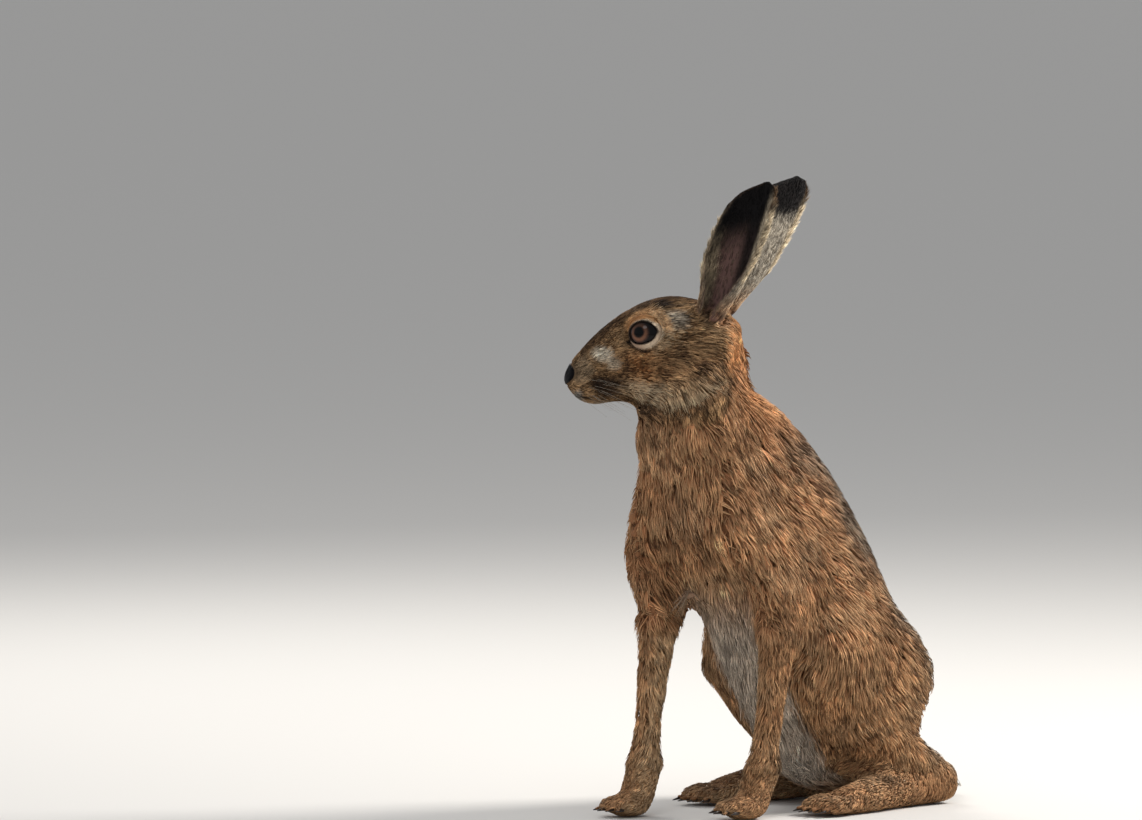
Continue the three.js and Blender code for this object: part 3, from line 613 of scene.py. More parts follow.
def spot(points, centre, radii, edge=0.35):
    """1 inside an ellipsoid and 0 outside it, with a soft edge."""
    r = np.linalg.norm((points - np.array(centre)) / np.array(radii), axis=1)
    return 1 - fade(1 - edge, 1 + edge, r)


def mottled(points, size, seed):
    """Soft noise from -1 to 1: a few sine waves in seeded directions."""
    draw = np.random.default_rng(SEED + seed)
    total = np.zeros(len(points))
    for _ in range(7):
        way = unit(draw.normal(size=3)) * draw.uniform(0.6, 1.6) * 2 * math.pi / size
        total += np.sin(points @ way + draw.uniform(0, 2 * math.pi))
    return total / 3.2


def ear_fields(shell, owner):
    """For the ears: how far up each point is and whether it is inside the cup, both from 0 to 1, and how far
    across it is, from -1 at the rear edge to 1 at the front."""
    height, inside, across = np.zeros((3, len(shell.points)))
    normals = shell.normals()
    for mine, up, centre, opening, _, share, _ in ear_frames(shell, owner):
        towards = centre + 7 * opening - to_body(shell.points)[mine]
        towards[:, 2] = 0
        height[mine], across[mine] = up, share
        inside[mine] = np.sum(unit(towards) * normals[mine], axis=1)
    return height, fade(-0.15, 0.35, inside), across


def paint_body(marks, body, normals, is_head, trunk, tail):
    rear = unit(np.array((0.86, 0.0, 0.5)))
    facing = normals @ rear
    z = body[:, 2]
    back = fade(0.15, 0.75, facing + 0.1 * mottled(body, 60, 1)) * fade(300, 262, z)
    marks.paint(fade(-0.4, 1.2, mottled(body, 60, 2)) * 0.4, RUST_DEEP, RUST, 0.3)
    marks.paint(fade(-0.2, 1.3, mottled(body, 45, 3)) * 0.25, SAND, CREAM, 0.2)
    marks.paint(back * 0.9, srgb(102, 82, 64), GREY, 0.85)
    marks.paint(fade(240, 290, z) * (1 - is_head), RUST, SAND, 0.12)
    # The nape: rusty, and painted brighter as light falling on it from behind
    lit_nape = fade(0.1, 0.55, facing) * fade(236, 272, z) * (1 - is_head)
    marks.paint(lit_nape * 0.8, LIT_NAPE_RUST, LIT_NAPE_TIPS, 0.05)
    front = normals @ np.array((-1.0, 0.0, 0.0))
    under = fade(165, 120, z) * fade(36, 22, np.abs(body[:, 1])) * fade(-0.2, 0.5, front)
    marks.paint(under * trunk, srgb(180, 162, 144), srgb(216, 204, 188), 0.0)
    inner = fade(0.2, 0.8, -normals[:, 1] * np.sign(body[:, 1])) * (1 - trunk) * fade(150, 110, z)
    marks.paint(inner * 0.6, SAND, CREAM, 0.0)
    marks.paint(fade(190, 60, z) * 0.35 * (1 - trunk), BUFF, SAND, 0.2)
    marks.paint(tail, WHITE, WHITE, 0.0)
    marks.paint(tail * fade(0.1, 0.6, normals[:, 2]), BLACK, DARK, 0.5)


# The upper profile of the head, as places along it and their heights, and the spots on its sides: middle,
# radii, strength, colour of the band, colour of the tips and share of dark tips.

PROFILE = ((-112, 286), (-104, 297), (-91, 309), (-82, 318), (-68, 328), (-56, 335), (-38, 341), (0, 342))
FACE = srgb(124, 92, 60)
TAN = srgb(150, 116, 78)
FACE_SPOTS = (
    ((-52, 18, 290), (24, 16, 14), 0.8, srgb(140, 90, 50), srgb(190, 146, 100), 0.5),
    ((-28, 22, 292), (22, 16, 18), 0.75, srgb(116, 84, 56), srgb(170, 136, 98), 0.6),
    ((-46, 20, 274), (22, 14, 9), 0.7, TAN, CREAM, 0.35),
    ((-70, 13, 290), (5, 8, 13), 0.75, BROWN, BUFF, 0.6),
    ((-97, 8, 288), (8, 7, 9), 0.85, srgb(126, 104, 80), srgb(170, 148, 120), 0.15),
    ((-82, 11, 279), (10, 8, 7), 0.95, srgb(48, 33, 24), BROWN, 0.7),
    ((-84, 9, 299), (7.5, 8, 4.8), 0.85, CREAM, WHITE, 0.15),
    ((-77, 12, 294), (5, 8, 4), 0.5, CREAM, WHITE, 0.3),
    ((-38, 15, 321), (9.5, 10, 6.5), 0.9, srgb(164, 152, 136), srgb(202, 190, 172), 0.2),
    ((-36, 18, 313), (6, 8, 9), 0.5, TAN, CREAM, 0.3),
    ((-24, 8, 338), (14, 12, 5), 0.6, srgb(124, 80, 48), TAN, 0.5),
    ((-48, 11, 332), (4.5, 8, 3.5), 0.9, DARK, DARK, 0.9),
    ((-15, 18, 330), (5, 12, 12), 0.8, srgb(72, 60, 46), OLIVE, 0.7),
    # Painted shade: a darker patch behind the cheek, where it meets the neck
    ((2, 14, 283), (8, 12, 12), 0.6, BROWN, BUFF, 0.6),
)


def paint_head(marks, head, share):
    fold = mirrored(head)
    x, _, z = fold.T
    marks.paint(share, FACE, SAND, 0.5)
    below = np.interp(x, *zip(*PROFILE)) - z
    forehead = share * fade(16, 8, below) * fade(-66, -56, x)
    marks.paint(forehead * 0.8, srgb(80, 62, 44), srgb(132, 104, 70), 0.6)
    for middle, radii, strength, band, tip, tick in FACE_SPOTS:
        marks.paint(share * strength * spot(fold, middle, radii), band, tip, tick)
    marks.paint(share * fade(8, 4, below) * fade(-104, -96, x) * 0.85, srgb(72, 52, 34), BROWN, 0.6)
    chin = share * fade(271, 267.5, z) * fade(-66, -84, x)
    marks.paint(chin, srgb(122, 106, 86), srgb(156, 142, 120), 0.2)
    lip = fade(-96, -101, x) * fade(278, 275, z) * fade(268, 271, z)
    marks.paint(share * lip, srgb(128, 124, 118), srgb(152, 148, 140), 0.0)
    marks.paint(share * mouth_line(fold), DARK, DARK, 0.0)
    edge = above_ruff_edge(head)
    ruff = ruff_share(head)
    low = fade(298, 284, z)
    marks.paint(ruff * low * bell(edge, 6, 6.0) * 0.7, srgb(150, 116, 80), CREAM, 0.25)
    # Painted shadow: a dark band on the neck just under the edge of the ruff
    marks.paint(ruff * fade(-9, -3, edge) * fade(2.5, 0.0, edge) * 0.55, BROWN, RUST_DEEP, 0.6)
    # The nape: rusty, and painted brighter as light falling on it from behind
    lit_nape = fade(-7, 0, x) * fade(286, 300, z)
    marks.paint(share * lit_nape * 0.9, LIT_NAPE_RUST, LIT_NAPE_TIPS, 0.05)


def paint_eyes(marks, points):
    """Colours round the eyes. Gives back where the pale ring and the dark rim are bare of tufts."""
    bare = np.zeros(len(points))
    for _, side in SIDES:
        along, up, out, _, gap = eye_place(points, side)
        here = out > -4
        above = fade(-1, 4, up - 0.25 * along)
        marks.paint(fade(9.5, 7, gap) * here * above * 0.95, srgb(210, 150, 96), srgb(226, 186, 138), 0.05)
        marks.paint(fade(11, 7, gap) * here * fade(0, -5, along) * 0.5, TAN, CREAM, 0.2)
        below = fade(3.5, -1.5, up + 0.45 * along)
        width = 1.7 + below * (1.7 + 0.9 * fade(-1, -5, up))
        ring = fade(width + 0.5, width - 0.4, gap) * here
        marks.paint(ring, srgb(216, 194, 168), CREAM, 0.0)
        # Painted shade: the pale ring darker towards its front
        marks.paint(ring * fade(-3, 5, along) * 0.7, srgb(150, 118, 98), BUFF, 0.0)
        # Painted shadow: a dark line under the pale ring below the lower lid
        line = bell(gap, width + 1.3, 0.9) * fade(-1, -4, up) * fade(-7, 0, along)
        marks.paint(line * here * 0.95, DARK, BROWN, 0.9)
        tear = distance_to(np.stack((along, up), axis=1), ((8.5, -1.2), (13.5, -3.8)))
        marks.paint(np.maximum(bell(tear, 0, 1.3), fade(1.4, 0.8, gap)) * here, DARK, DARK, 0.0)
        bare = np.maximum(bare, fade(width - 0.5, width - 1.1, gap) * here)
    return bare


def paint_ears(marks, ear, height, inside, across):
    outer = ear * (1 - inside)
    inner = ear * inside
    marks.paint(outer, OLIVE, srgb(138, 122, 98), 0.2)
    marks.paint(outer * fade(0.3, -0.3, across) * 0.85, EAR_BACK, srgb(162, 155, 142), 0.06)
    marks.paint(outer * fade(0.25, 0.0, height) * 0.8, RUST, SAND, 0.1)
    # Inside the cup: the skin painted dark as the shade in it, with deeper painted shade towards the rear
    marks.paint(inner, SHADED_EAR_SKIN, OLIVE, 0.3)
    marks.paint(inner * fade(0.15, -0.25, across) * fade(0.1, 0.35, height), EAR_SHADE, DARK, 0.0)
    front = fade(0.55, 0.75, across) * fade(0.9, 0.75, height)
    marks.paint(inner * front, OLIVE, srgb(156, 140, 114), 0.25)
    # Black in the upper cup: partly the ear's black tip and partly painted shade
    marks.paint(inner * fade(0.45, 0.75, height + 0.1 * across), BLACK, BLACK, 0.0)
    marks.paint(outer * fade(0.64, 0.74, height), BLACK, srgb(22, 17, 15), 0.3)
    fringe = fade(-0.55, -0.8, across) * fade(0.35, 0.5, height) * fade(0.93, 0.8, height)
    marks.paint(inner * fringe * 0.7, srgb(140, 128, 110), CREAM, 0.3)
    rim = fade(0.8, 0.93, np.abs(across)) * ear
    pale = fade(0.84, 0.74, height) * fade(0.02, 0.16, height)
    marks.paint(rim * pale * 0.9, srgb(176, 158, 130), CREAM, 0.0)
    marks.paint(rim * fade(0.74, 0.84, height) * 0.5, BROWN, TAN, 0.3)


# The lie of the coat, as lines that it follows from their first point to their last, and how far from a
# line the coat still follows it

HEAD_LIES = (
    ((-112, 0, 286), (-60, 0, 322), (-15, 0, 326)),
    ((-108, 6, 280), (-62, 18, 296), (-20, 20, 302)),
    ((-108, 6, 276), (-70, 17, 280), (-26, 20, 276)),
    ((-104, 0, 268), (-60, 0, 266), (-20, 0, 262)),
)
BODY_LIES = (
    ((-38, -10, 320), (-24, -4, 262), (10, 0, 224), (70, 0, 150), (112, 0, 80), (120, 0, 40)),
    ((-88, -6, 276), (-106, 0, 236), (-98, 0, 180), (-50, 0, 120), (0, 0, 80)),
)
SIDE_LIES = (
    ((-60, 30, 290), (-52, 42, 230), (-6, 56, 190), (30, 60, 140), (80, 60, 90), (110, 50, 40)),
    ((-90, 36, 240), (-70, 46, 190), (-44, 50, 140), (-40, 44, 90), (-42, 38, 40)),
    ((-42, 36, 40), (-52, 36, 18), (-84, 36, 8)),
    ((10, 62, 130), (30, 66, 90), (70, 62, 50), (112, 50, 22)),
    ((40, 58, 110), (0, 62, 96), (-8, 56, 60), (20, 54, 24)),
    ((120, 46, 24), (60, 52, 18), (-30, 54, 9)),
)
TAIL_LIE = ((92, 0, 52), (126, 0, 30), (170, 0, 9))
LIE_REACH = 16.0


def lie_segments():
    """Starts and ends of all lines of the lie, in body millimetres."""
    lines = [head_turned(on_side(line, side)) for line in HEAD_LIES for side in (LEFT, RIGHT)]
    lines += [np.array(line, float) for line in BODY_LIES]
    lines += [on_side(line, side) for line in SIDE_LIES for side in (LEFT, RIGHT)]
    lines.append(np.array(TAIL_LIE, float))
    return np.concatenate([line[:-1] for line in lines]), np.concatenate([line[1:] for line in lines])


def coat_lie(shell, owner):
    """The way the hairs lie at each point of the skin, along its surface."""
    body = to_body(shell.points)
    flow = np.zeros_like(body)
    for a, b in zip(*lie_segments()):
        gap = segment_gap(body, a, b)
        weight = np.exp(-((gap / LIE_REACH) ** 2) / 2) + 1e-6 / (1 + gap)
        flow += weight[:, None] * unit(b - a)
    for ear in EARS:
        mine = among(owner, [ear])
        points = body[mine]
        order = points[:, 2].argsort()
        tenth = max(len(order) // 10, 1)
        flow[mine] = unit(points[order[-tenth:]].mean(axis=0) - points[order[:tenth]].mean(axis=0))
    flow = unit(flow)
    normals = shell.normals()
    flow -= normals * np.sum(flow * normals, axis=1)[:, None]
    flow = shell.relaxed(unit(flow), 0.5, 8)
    flow = unit(flow - normals * np.sum(flow * normals, axis=1)[:, None])
    for mine, up, _, _, front, across, _ in ear_frames(shell, owner):
        fringe = np.sign(across) * fade(0.8, 0.95, np.abs(across)) * fade(0.1, 0.3, up)
        flow[mine] += (fringe * np.where(across < 0, 0.8, 0.5))[:, None] * front
    return unit(flow)


# Tufts: each is a thin closed blade of three sides, rooted in the skin and laid along it


def laid_on(tree, points, height):
    """The points moved to a height over the nearest place on the skin."""
    place = np.empty_like(points)
    normal = np.empty_like(points)
    for n, p in enumerate(points):
        place[n], normal[n], _, _ = tree.find_nearest(p)
    return place + normal * height[:, None]


def clumped(roots, tips, every, pull):
    """Draws the tips of neighbouring tufts together into locks, and numbers the lock of each."""
    count = len(roots)
    heads = np.arange(0, count, every)
    tree = KDTree(len(heads))
    for n, h in enumerate(heads):
        tree.insert(roots[h], n)
    tree.balance()
    lock = np.array([tree.find(r)[1] for r in roots])
    return tips + pull[:, None] * (tips[heads[lock]] - tips), lock


# A tuft runs from a point in the skin through rings of three points to its tip: places of the stages along
# it, how far it has risen there, and how wide its rings are. RIDGE is its thickness beside its width. Next
# are how much the sizes vary, and the shades of the single tufts and of the locks. The last are
# millimetres: a root's depth in the skin, the least heights over the floor, and the shortest tuft that is
# drawn into a lock.

LONG_TUFT = ((0.0, 0.34, 0.7, 1.0), (0.0, 0.5, 0.86, 1.0), (1.0, 0.74))
SHORT_TUFT = ((0.0, 0.45, 1.0), (0.0, 0.7, 1.0), (1.0,))
RIDGE = 0.32
LENGTHS, WIDTHS, HEIGHTS = (0.7, 1.25), (0.75, 1.25), (0.55, 1.0)
OWN_SHADE, LOCK_SHADE = 0.13, 0.23
ROOT_DEPTH = 0.4
LOWEST_LINE, LOWEST_RING = 0.35, 0.2
SHORTEST_IN_LOCK = 6


def tuft_faces(rings):
    """Triangles of one closed tuft: a fan at the root, bands between its rings and a fan at the tip."""
    tip = 1 + 3 * rings
    faces = [(1 + (k + 1) % 3, 1 + k, 0) for k in range(3)]
    for ring in range(rings - 1):
        a, b = 1 + 3 * ring, 4 + 3 * ring
        for k in range(3):
            n = (k + 1) % 3
            faces += [(a + k, a + n, b + n), (a + k, b + n, b + k)]
    faces += [(tip - 3 + k, tip - 3 + (k + 1) % 3, tip) for k in range(3)]
    return np.array(faces)


def sample_roots(shell, wanted, density, draw):
    """Random triangles and places in them, as many as the density asks for."""
    corners = shell.points[shell.triangles] / MM
    area = np.linalg.norm(np.cross(corners[:, 1] - corners[:, 0], corners[:, 2] - corners[:, 0]), axis=1) / 2
    face_density = density[shell.triangles].mean(axis=1) * wanted[shell.triangles].all(axis=1)
    expected = area * face_density
    count = int(expected.sum())
    picks = draw.choice(len(area), size=count, p=expected / expected.sum())
    u, v = draw.random(count), draw.random(count)
    flip = u + v > 1
    u[flip], v[flip] = 1 - u[flip], 1 - v[flip]
    return shell.triangles[picks], np.stack((1 - u - v, u, v), axis=1)


def at_roots(values, corners, weights):
    return np.einsum("nk,nk...->n...", weights, values[corners])


def unwrapped(points, start, end, across):
    """A place on the cylinder round a line: turn about it and way along it, both from 0 to 1."""
    start, end = np.array(start, float), np.array(end, float)
    axis = unit(end - start)
    side = unit(np.cross(axis, across))
    up = np.cross(side, axis)
    at = points - start
    turn = np.arctan2(at @ side, at @ up) / (2 * math.pi) + 0.5
    way = (at @ axis) / np.linalg.norm(end - start)
    return np.stack((0.01 + 0.97 * turn, np.clip(0.01 + 0.97 * way, 0.01, 0.99)), axis=1)


# The size of one tuft's patch on the unwrap, and how far across the patch a ring's three points stand

PATCH = 0.003
RING_ACROSS = (-0.36, 0.36, 0.0)


def tuft_object(name, ends, rings, colours, places, material, stages):
    """One joined mesh of tufts, from their ends, rings, colours at each stage and places on the unwrap."""
    roots, tips = ends
    count, ring_count = rings.shape[:2]
    size = 2 + 3 * ring_count
    points = np.concatenate((roots[:, None], rings.reshape(count, -1, 3), tips[:, None]), axis=1)
    faces = (np.arange(count)[:, None, None] * size + tuft_faces(ring_count)[None]).reshape(-1)
    mesh = bpy.data.meshes.new(name)
    mesh.vertices.add(count * size)
    mesh.vertices.foreach_set("co", points.astype(np.float32).ravel())
    mesh.loops.add(len(faces))
    mesh.loops.foreach_set("vertex_index", faces.astype(np.int32))
    mesh.polygons.add(len(faces) // 3)
    mesh.polygons.foreach_set("loop_start", np.arange(0, len(faces), 3, dtype=np.int32))
    mesh.update(calc_edges=True)
    finished(mesh, material)
    shared = (1, *([3] * ring_count), 1)
    colour_points(mesh, np.repeat(colours, shared, axis=1).reshape(-1, 3))
    side = np.array((0.0, *(RING_ACROSS * ring_count), 0.0))
    offset = np.stack((side, np.repeat(stages, shared) - 0.5), axis=1) * PATCH
    uv = (places[:, None] + offset[None]).reshape(-1, 2)[faces]
    mesh.uv_layers.new(name="OFBake").data.foreach_set("uv", uv.astype(np.float32).ravel())
    return added(name, mesh)


class Coat:
    """Grows tufts over a skin whose fields are known at each of its points: the way they lie, their length,
    width, height and density, how light their roots are, and how free they stand of the skin."""

    def __init__(self, shell, owner, fields, marks, material):
        self.shell, self.owner, self.fields, self.marks = shell, owner, fields, marks
        self.tree = BVHTree.FromPolygons(shell.points.tolist(), shell.triangles.tolist())
        self.normals = shell.normals()
        self.material = material
        self.seed = SEED

    def grow(
        self, name, nodes, line, across, slot, tousle=0.3, clump=7, pull=0.45, tuft=LONG_TUFT, where=True
    ):
        """One piece of the coat, on the named nodes. Its unwrap runs along a line in body millimetres and is
        cut at the way across. Tousle is how far the tufts stray, every clump-th one leads a lock, and pull
        is how far the others are drawn to it."""
        self.seed += 1
        draw = np.random.default_rng(self.seed)
        wanted = among(self.owner, nodes) & where
        stages, rises, wideness = tuft
        f = self.fields
        corners, weights = sample_roots(self.shell, wanted, f["density"], draw)
        get = lambda values: at_roots(values, corners, weights)
        roots, normals, flow = get(self.shell.points), unit(get(self.normals)), unit(get(f["flow"]))
        count = len(roots)
        length = get(f["length"]) * draw.uniform(*LENGTHS, count) * MM
        width = get(f["width"]) * draw.uniform(*WIDTHS, count) * MM
        height = get(f["height"]) * draw.uniform(*HEIGHTS, count) * MM
        body = to_body(roots)
        sway = np.stack([mottled(body, 16, 20 + k) for k in range(3)], axis=1)
        stray = flow + tousle * (0.8 * sway + 0.6 * draw.normal(size=(count, 3)))
        free = get(f["free"])
        stray -= ((1 - free) * np.sum(stray * normals, axis=1))[:, None] * normals
        stray = unit(stray)
        tips = roots + stray * length[:, None]
        drawn = pull * draw.uniform(0.4, 1.0, count) * (length > SHORTEST_IN_LOCK * MM)
        tips, lock = clumped(roots, tips, clump, drawn)
        line_points = [roots - normals * ROOT_DEPTH * MM]
        for t, rise in zip(stages[1:], rises[1:]):
            at = roots + (tips - roots) * t
            placed = laid_on(self.tree, at, height * rise)
            placed += free[:, None] * (at - placed)
            placed[:, 2] = np.maximum(placed[:, 2], LOWEST_LINE * MM)
            line_points.append(placed)
        centre = np.stack(line_points, axis=1)
        ahead = unit(np.gradient(centre, axis=1))
        side = unit(np.cross(ahead, normals[:, None]))
        lift = unit(np.cross(side, ahead))
        middle, side, lift = (way[:, 1:-1] for way in (centre, side, lift))
        half = (width[:, None] * np.array(wideness) / 2)[..., None]
        rings = np.stack((middle - side * half, middle + side * half, middle + lift * half * 2 * RIDGE), 2)
        rings[..., 2] = np.maximum(rings[..., 2], LOWEST_RING * MM)
        colours = self.colours(get, body, draw, lock, len(stages))
        places = unwrapped(body, *line, across)
        if "ear" in name:
            places[:, 0] = 0.5 * places[:, 0] + 0.5 * (get(f["inside"]) > 0.5)
        line_points[0][:, 2] = np.maximum(line_points[0][:, 2], LOWEST_RING * MM)
        ends = line_points[0], line_points[-1]
        piece(tuft_object(name, ends, rings, colours, places, self.material, stages))

    def colours(self, get, body, draw, lock, stages):
        """Colours at the stages of each tuft. The tufts of one lock share most of their shade."""
        band, tip, tick = get(self.marks.band), get(self.marks.tip), get(self.marks.tick)
        count, locks = len(lock), lock.max() + 1
        own = OWN_SHADE * draw.normal(size=count) + LOCK_SHADE * draw.normal(size=locks)[lock]
        shade = np.exp(own + 0.14 * mottled(body, 9, 31) + 0.16 * mottled(body, 26, 33))[:, None]
        shared = draw.random(count) < 0.5
        pick = np.where(shared, draw.random(locks)[lock], draw.random(count))
        under = get(self.fields["root"])[:, None] * band
        dark = pick < tick * (0.75 + 0.6 * mottled(body, 18, 32))
        end = np.where(dark[:, None], 0.15 * band + 0.6 * DARK, tip)
        near = np.where(dark[:, None], 0.45 * band + 0.25 * DARK, 0.6 * band + 0.4 * tip)
        steps = (under, band, near, end) if stages == 4 else (under, 0.5 * (band + near), end)
        return np.clip(np.stack(steps, axis=1) * shade[:, None], 0, 1)


# Materials


def material(name, roughness, colour=None):
    made = bpy.data.materials.new(name)
    made.use_nodes = True
    shader = made.node_tree.nodes["Principled BSDF"]
    shader.inputs["Roughness"].default_value = roughness
    if colour is not None:
        shader.inputs["Base Color"].default_value = (*colour, 1)
    return made, shader


def set_inputs(node, inputs):
    """Gives each named input of a node a value, or links it to the output of another node."""
    for name, value in inputs.items():
        if isinstance(value, bpy.types.NodeSocket):
            node.id_data.links.new(value, node.inputs[name])
        else:
            node.inputs[name].default_value = value


def node(tree, kind, inputs, operation=None):
    made = tree.nodes.new(f"ShaderNode{kind}")
    if operation:
        made.operation = operation
    set_inputs(made, inputs)
    return made


def vector(tree, operation, inputs, output="Vector"):
    return node(tree, "VectorMath", inputs, operation).outputs[output]


def spread(tree, inputs):
    """A value moved from one range to another."""
    return node(tree, "MapRange", inputs).outputs["Result"]


def object_place(tree):
    return node(tree, "TexCoord", {}).outputs["Object"]


def noise(tree, scale, detail=3.0):
    inputs = {"Vector": object_place(tree), "Scale": scale, "Detail": detail}
    return node(tree, "TexNoise", inputs).outputs["Fac"]


def relief(tree, height, strength, depth):
    """A bump of the surface, with its depth in metres."""
    inputs = {"Height": height, "Strength": strength, "Distance": depth}
    return {"Normal": node(tree, "Bump", inputs).outputs["Normal"]}


def fur_material(name, roughness, bump=None):
    """Colour from the coat attribute, varied a little by noise, and a fine bump of a scale and strength."""
    made, shader = material(name, roughness)
    tree = made.node_tree
    colour = node(tree, "Attribute", {})
    colour.attribute_name = "coat"
    varied = spread(tree, {"Value": noise(tree, 900), "To Min": 0.82, "To Max": 1.18})
    colour = vector(tree, "SCALE", {0: colour.outputs["Color"], "Scale": varied})
    set_inputs(shader, {"Base Color": colour, "Specular IOR Level": 0.16})
    if bump:
        scale, strength = bump
        set_inputs(shader, relief(tree, noise(tree, scale), strength, 0.0006))
    return made


# The eye's colours from the axis of its gaze outwards, in radii: black pupil, amber iris, dark brown. How
# far the gaze turns from the way out of the head. Where the cornea starts, and how steeply it rises.

IRIS = (
    (0.0, srgb(4, 3, 4)),
    (0.27, srgb(5, 4, 5)),
    (0.32, srgb(64, 42, 32)),
    (0.40, srgb(120, 82, 62)),
    (0.48, srgb(110, 74, 56)),
    (0.56, srgb(62, 42, 34)),
    (0.64, srgb(14, 10, 10)),
    (0.82, srgb(8, 6, 7)),
)
PUPIL_AHEAD, PUPIL_UP = 0.155, 0.07
CORNEA_START, CORNEA_RISE = 0.75, 0.10


def ramp(tree, place, stops):
    made = node(tree, "ValToRGB", {"Fac": place})
    points = made.color_ramp.elements
    while len(points) < len(stops):
        points.new(0.5)
    for point, (at, colour) in zip(points, stops):
        point.position = at
        point.color = (*colour, 1)
    return made.outputs["Color"]


def eye_material(name, side):
    """The iris with uneven rays, by the distance from the gaze, and painted shade: darker towards the top
    under the upper lid, lighter towards the bottom.
    """
    made, shader = material(name, 0.08)
    tree = made.node_tree
    radius = EYE_RADIUS * MM
    ahead, up, out = eye_axes(side)
    gaze = unit(turned_way(out + PUPIL_AHEAD * ahead + PUPIL_UP * up)) / radius
    centred = vector(tree, "SUBTRACT", {0: object_place(tree), 1: from_head(eye_centre(side))[0]})
    outward = vector(tree, "CROSS_PRODUCT", {0: centred, 1: gaze})
    reach = vector(tree, "LENGTH", {0: outward}, "Value")
    rays = spread(tree, {"Value": noise(tree, 700, 2), "To Min": -0.03, "To Max": 0.03})
    total = node(tree, "Math", {0: reach, 1: rays}, "ADD").outputs["Value"]
    # Painted shade of the upper lid: the iris darker towards the top, lighter towards the bottom
    height = vector(tree, "DOT_PRODUCT", {0: centred, 1: (0, 0, 1 / radius)}, "Value")
    shade = {"Value": height, "From Min": -0.45, "From Max": 0.55, "To Min": 1.25, "To Max": 0.3}
    colour = vector(tree, "SCALE", {0: ramp(tree, total, IRIS), "Scale": spread(tree, shade)})
    set_inputs(shader, {"Base Color": colour, "Specular IOR Level": 0.05, "IOR": 1.38})
    set_inputs(shader, {"Coat Weight": 0.25, "Coat Roughness": 0.03})
    return made


def mesh_object(name, shape, finish):
    bmesh.ops.recalc_face_normals(shape, faces=shape.faces)
    mesh = closed(shape, name)
    finished(mesh, finish)
    return piece(added(name, mesh))


def make_eye(name, side):
    """An eyeball with a slightly raised cornea."""
    out = Vector(unit(turned_way(eye_axes(side)[2])))
    centre = Vector(from_head(eye_centre(side))[0])
    shape = bmesh.new()
    bmesh.ops.create_uvsphere(shape, u_segments=64, v_segments=40, radius=EYE_RADIUS * MM)
    for v in shape.verts:
        dome = max(v.co.z / (EYE_RADIUS * MM) - CORNEA_START, 0)
        v.co *= 1 + CORNEA_RISE * dome
    turn = Vector((0, 0, 1)).rotation_difference(out).to_matrix().to_4x4()
    bmesh.ops.transform(shape, matrix=Matrix.Translation(centre) @ turn, verts=shape.verts)
    return mesh_object(f"eyeball_{name}", shape, eye_material(f"amber eye {name}", side))


# Nose, claws and whiskers. The nose is a shell of this thickness; its middle and its edge stand this far
# out of the skin.

NOSE_THICK, NOSE_PROUD, NOSE_EDGE = 0.6, 0.25, -0.2


def make_nose(shell, pad, finish):
    """The bare nose: the skin's own surface there, as a thin closed shell that stands a little proud."""
    shape = opened(shell.mesh)
    bmesh.ops.delete(shape, geom=[v for v in shape.verts if pad[v.index] < 0.5], context="VERTS")
    shape.normal_update()
    for v in shape.verts:
        v.co += v.normal * (NOSE_EDGE if v.is_boundary else NOSE_PROUD) * MM
    mesh = closed(shape, "nose")
    finished(mesh, finish)
    nose = added("nose", mesh)
    thickness = nose.modifiers.new("thickness", "SOLIDIFY")
    thickness.thickness = NOSE_THICK * MM
    thickness.offset = -1
    applied(nose)
    piece(nose)


def nose_material():
    """Dark moist skin with fine pebbles, its colour near-black: the dark leather with painted shade in it.
    """
    made, shader = material("nose leather", 0.4, srgb(11, 9, 11))
    tree = made.node_tree
    pebbles = node(tree, "TexVoronoi", {"Vector": object_place(tree), "Scale": 1600})
    set_inputs(shader, relief(tree, pebbles.outputs["Distance"], 0.5, 0.0003))
    set_inputs(shader, {"Specular IOR Level": 0.05})
    return made


# For each kind of foot: the claws' places across it, how far its toes start ahead of its place, the toes'
# length and radius, and the claws' length. The places are those of the solids.

TOES = {
    "forepaw": ((-10.5, -3.8, 3.8, 10.0), 9.0, 12.0, 5.0, 7.0),
    "hind_foot": ((-12.5, -4.3, 4.3, 12.0), 0.0, 17.0, 6.0, 9.0),
}
TOE_PLACE = {
    ("forepaw", LEFT): (-56, -35, 8),
    ("forepaw", RIGHT): (-93, 34, 8),
    ("hind_foot", LEFT): (0, -55, 7.5),
    ("hind_foot", RIGHT): (0, 55, 7.5),
}
CLAW_BASE, CLAW_POINT = 1.5, 0.25


def add_claw(shape, base, length):
    """A curved, tapered claw from base towards -X, bending down."""
    made = bmesh.ops.create_cone(
        shape,
        cap_ends=True,
        segments=8,
        radius1=CLAW_BASE * MM,
        radius2=CLAW_POINT * MM,
        depth=length * MM,
    )
    verts = made["verts"]
    turn = Matrix.Rotation(math.radians(-90), 3, "Y")
    bmesh.ops.rotate(shape, verts=verts, cent=(0, 0, 0), matrix=turn)
    for v in verts:
        t = 0.5 - v.co.x / (length * MM)
        v.co.z -= 0.16 * length * MM * t * t
        v.co.y *= 0.75
    bmesh.ops.translate(shape, verts=verts, vec=Vector(from_body(base)))


def make_claws(finish):
    shape = bmesh.new()
    for (part, side), toe in TOE_PLACE.items():
        across, ahead, length, radius, claw = TOES[part]
        for y in across:
            x = toe[0] - ahead - length + abs(y) * 0.4 - claw * 0.1
            add_claw(shape, (x, toe[1] + side * y, toe[2] - radius * 0.4), claw)
    mesh_object("claws", shape, finish)


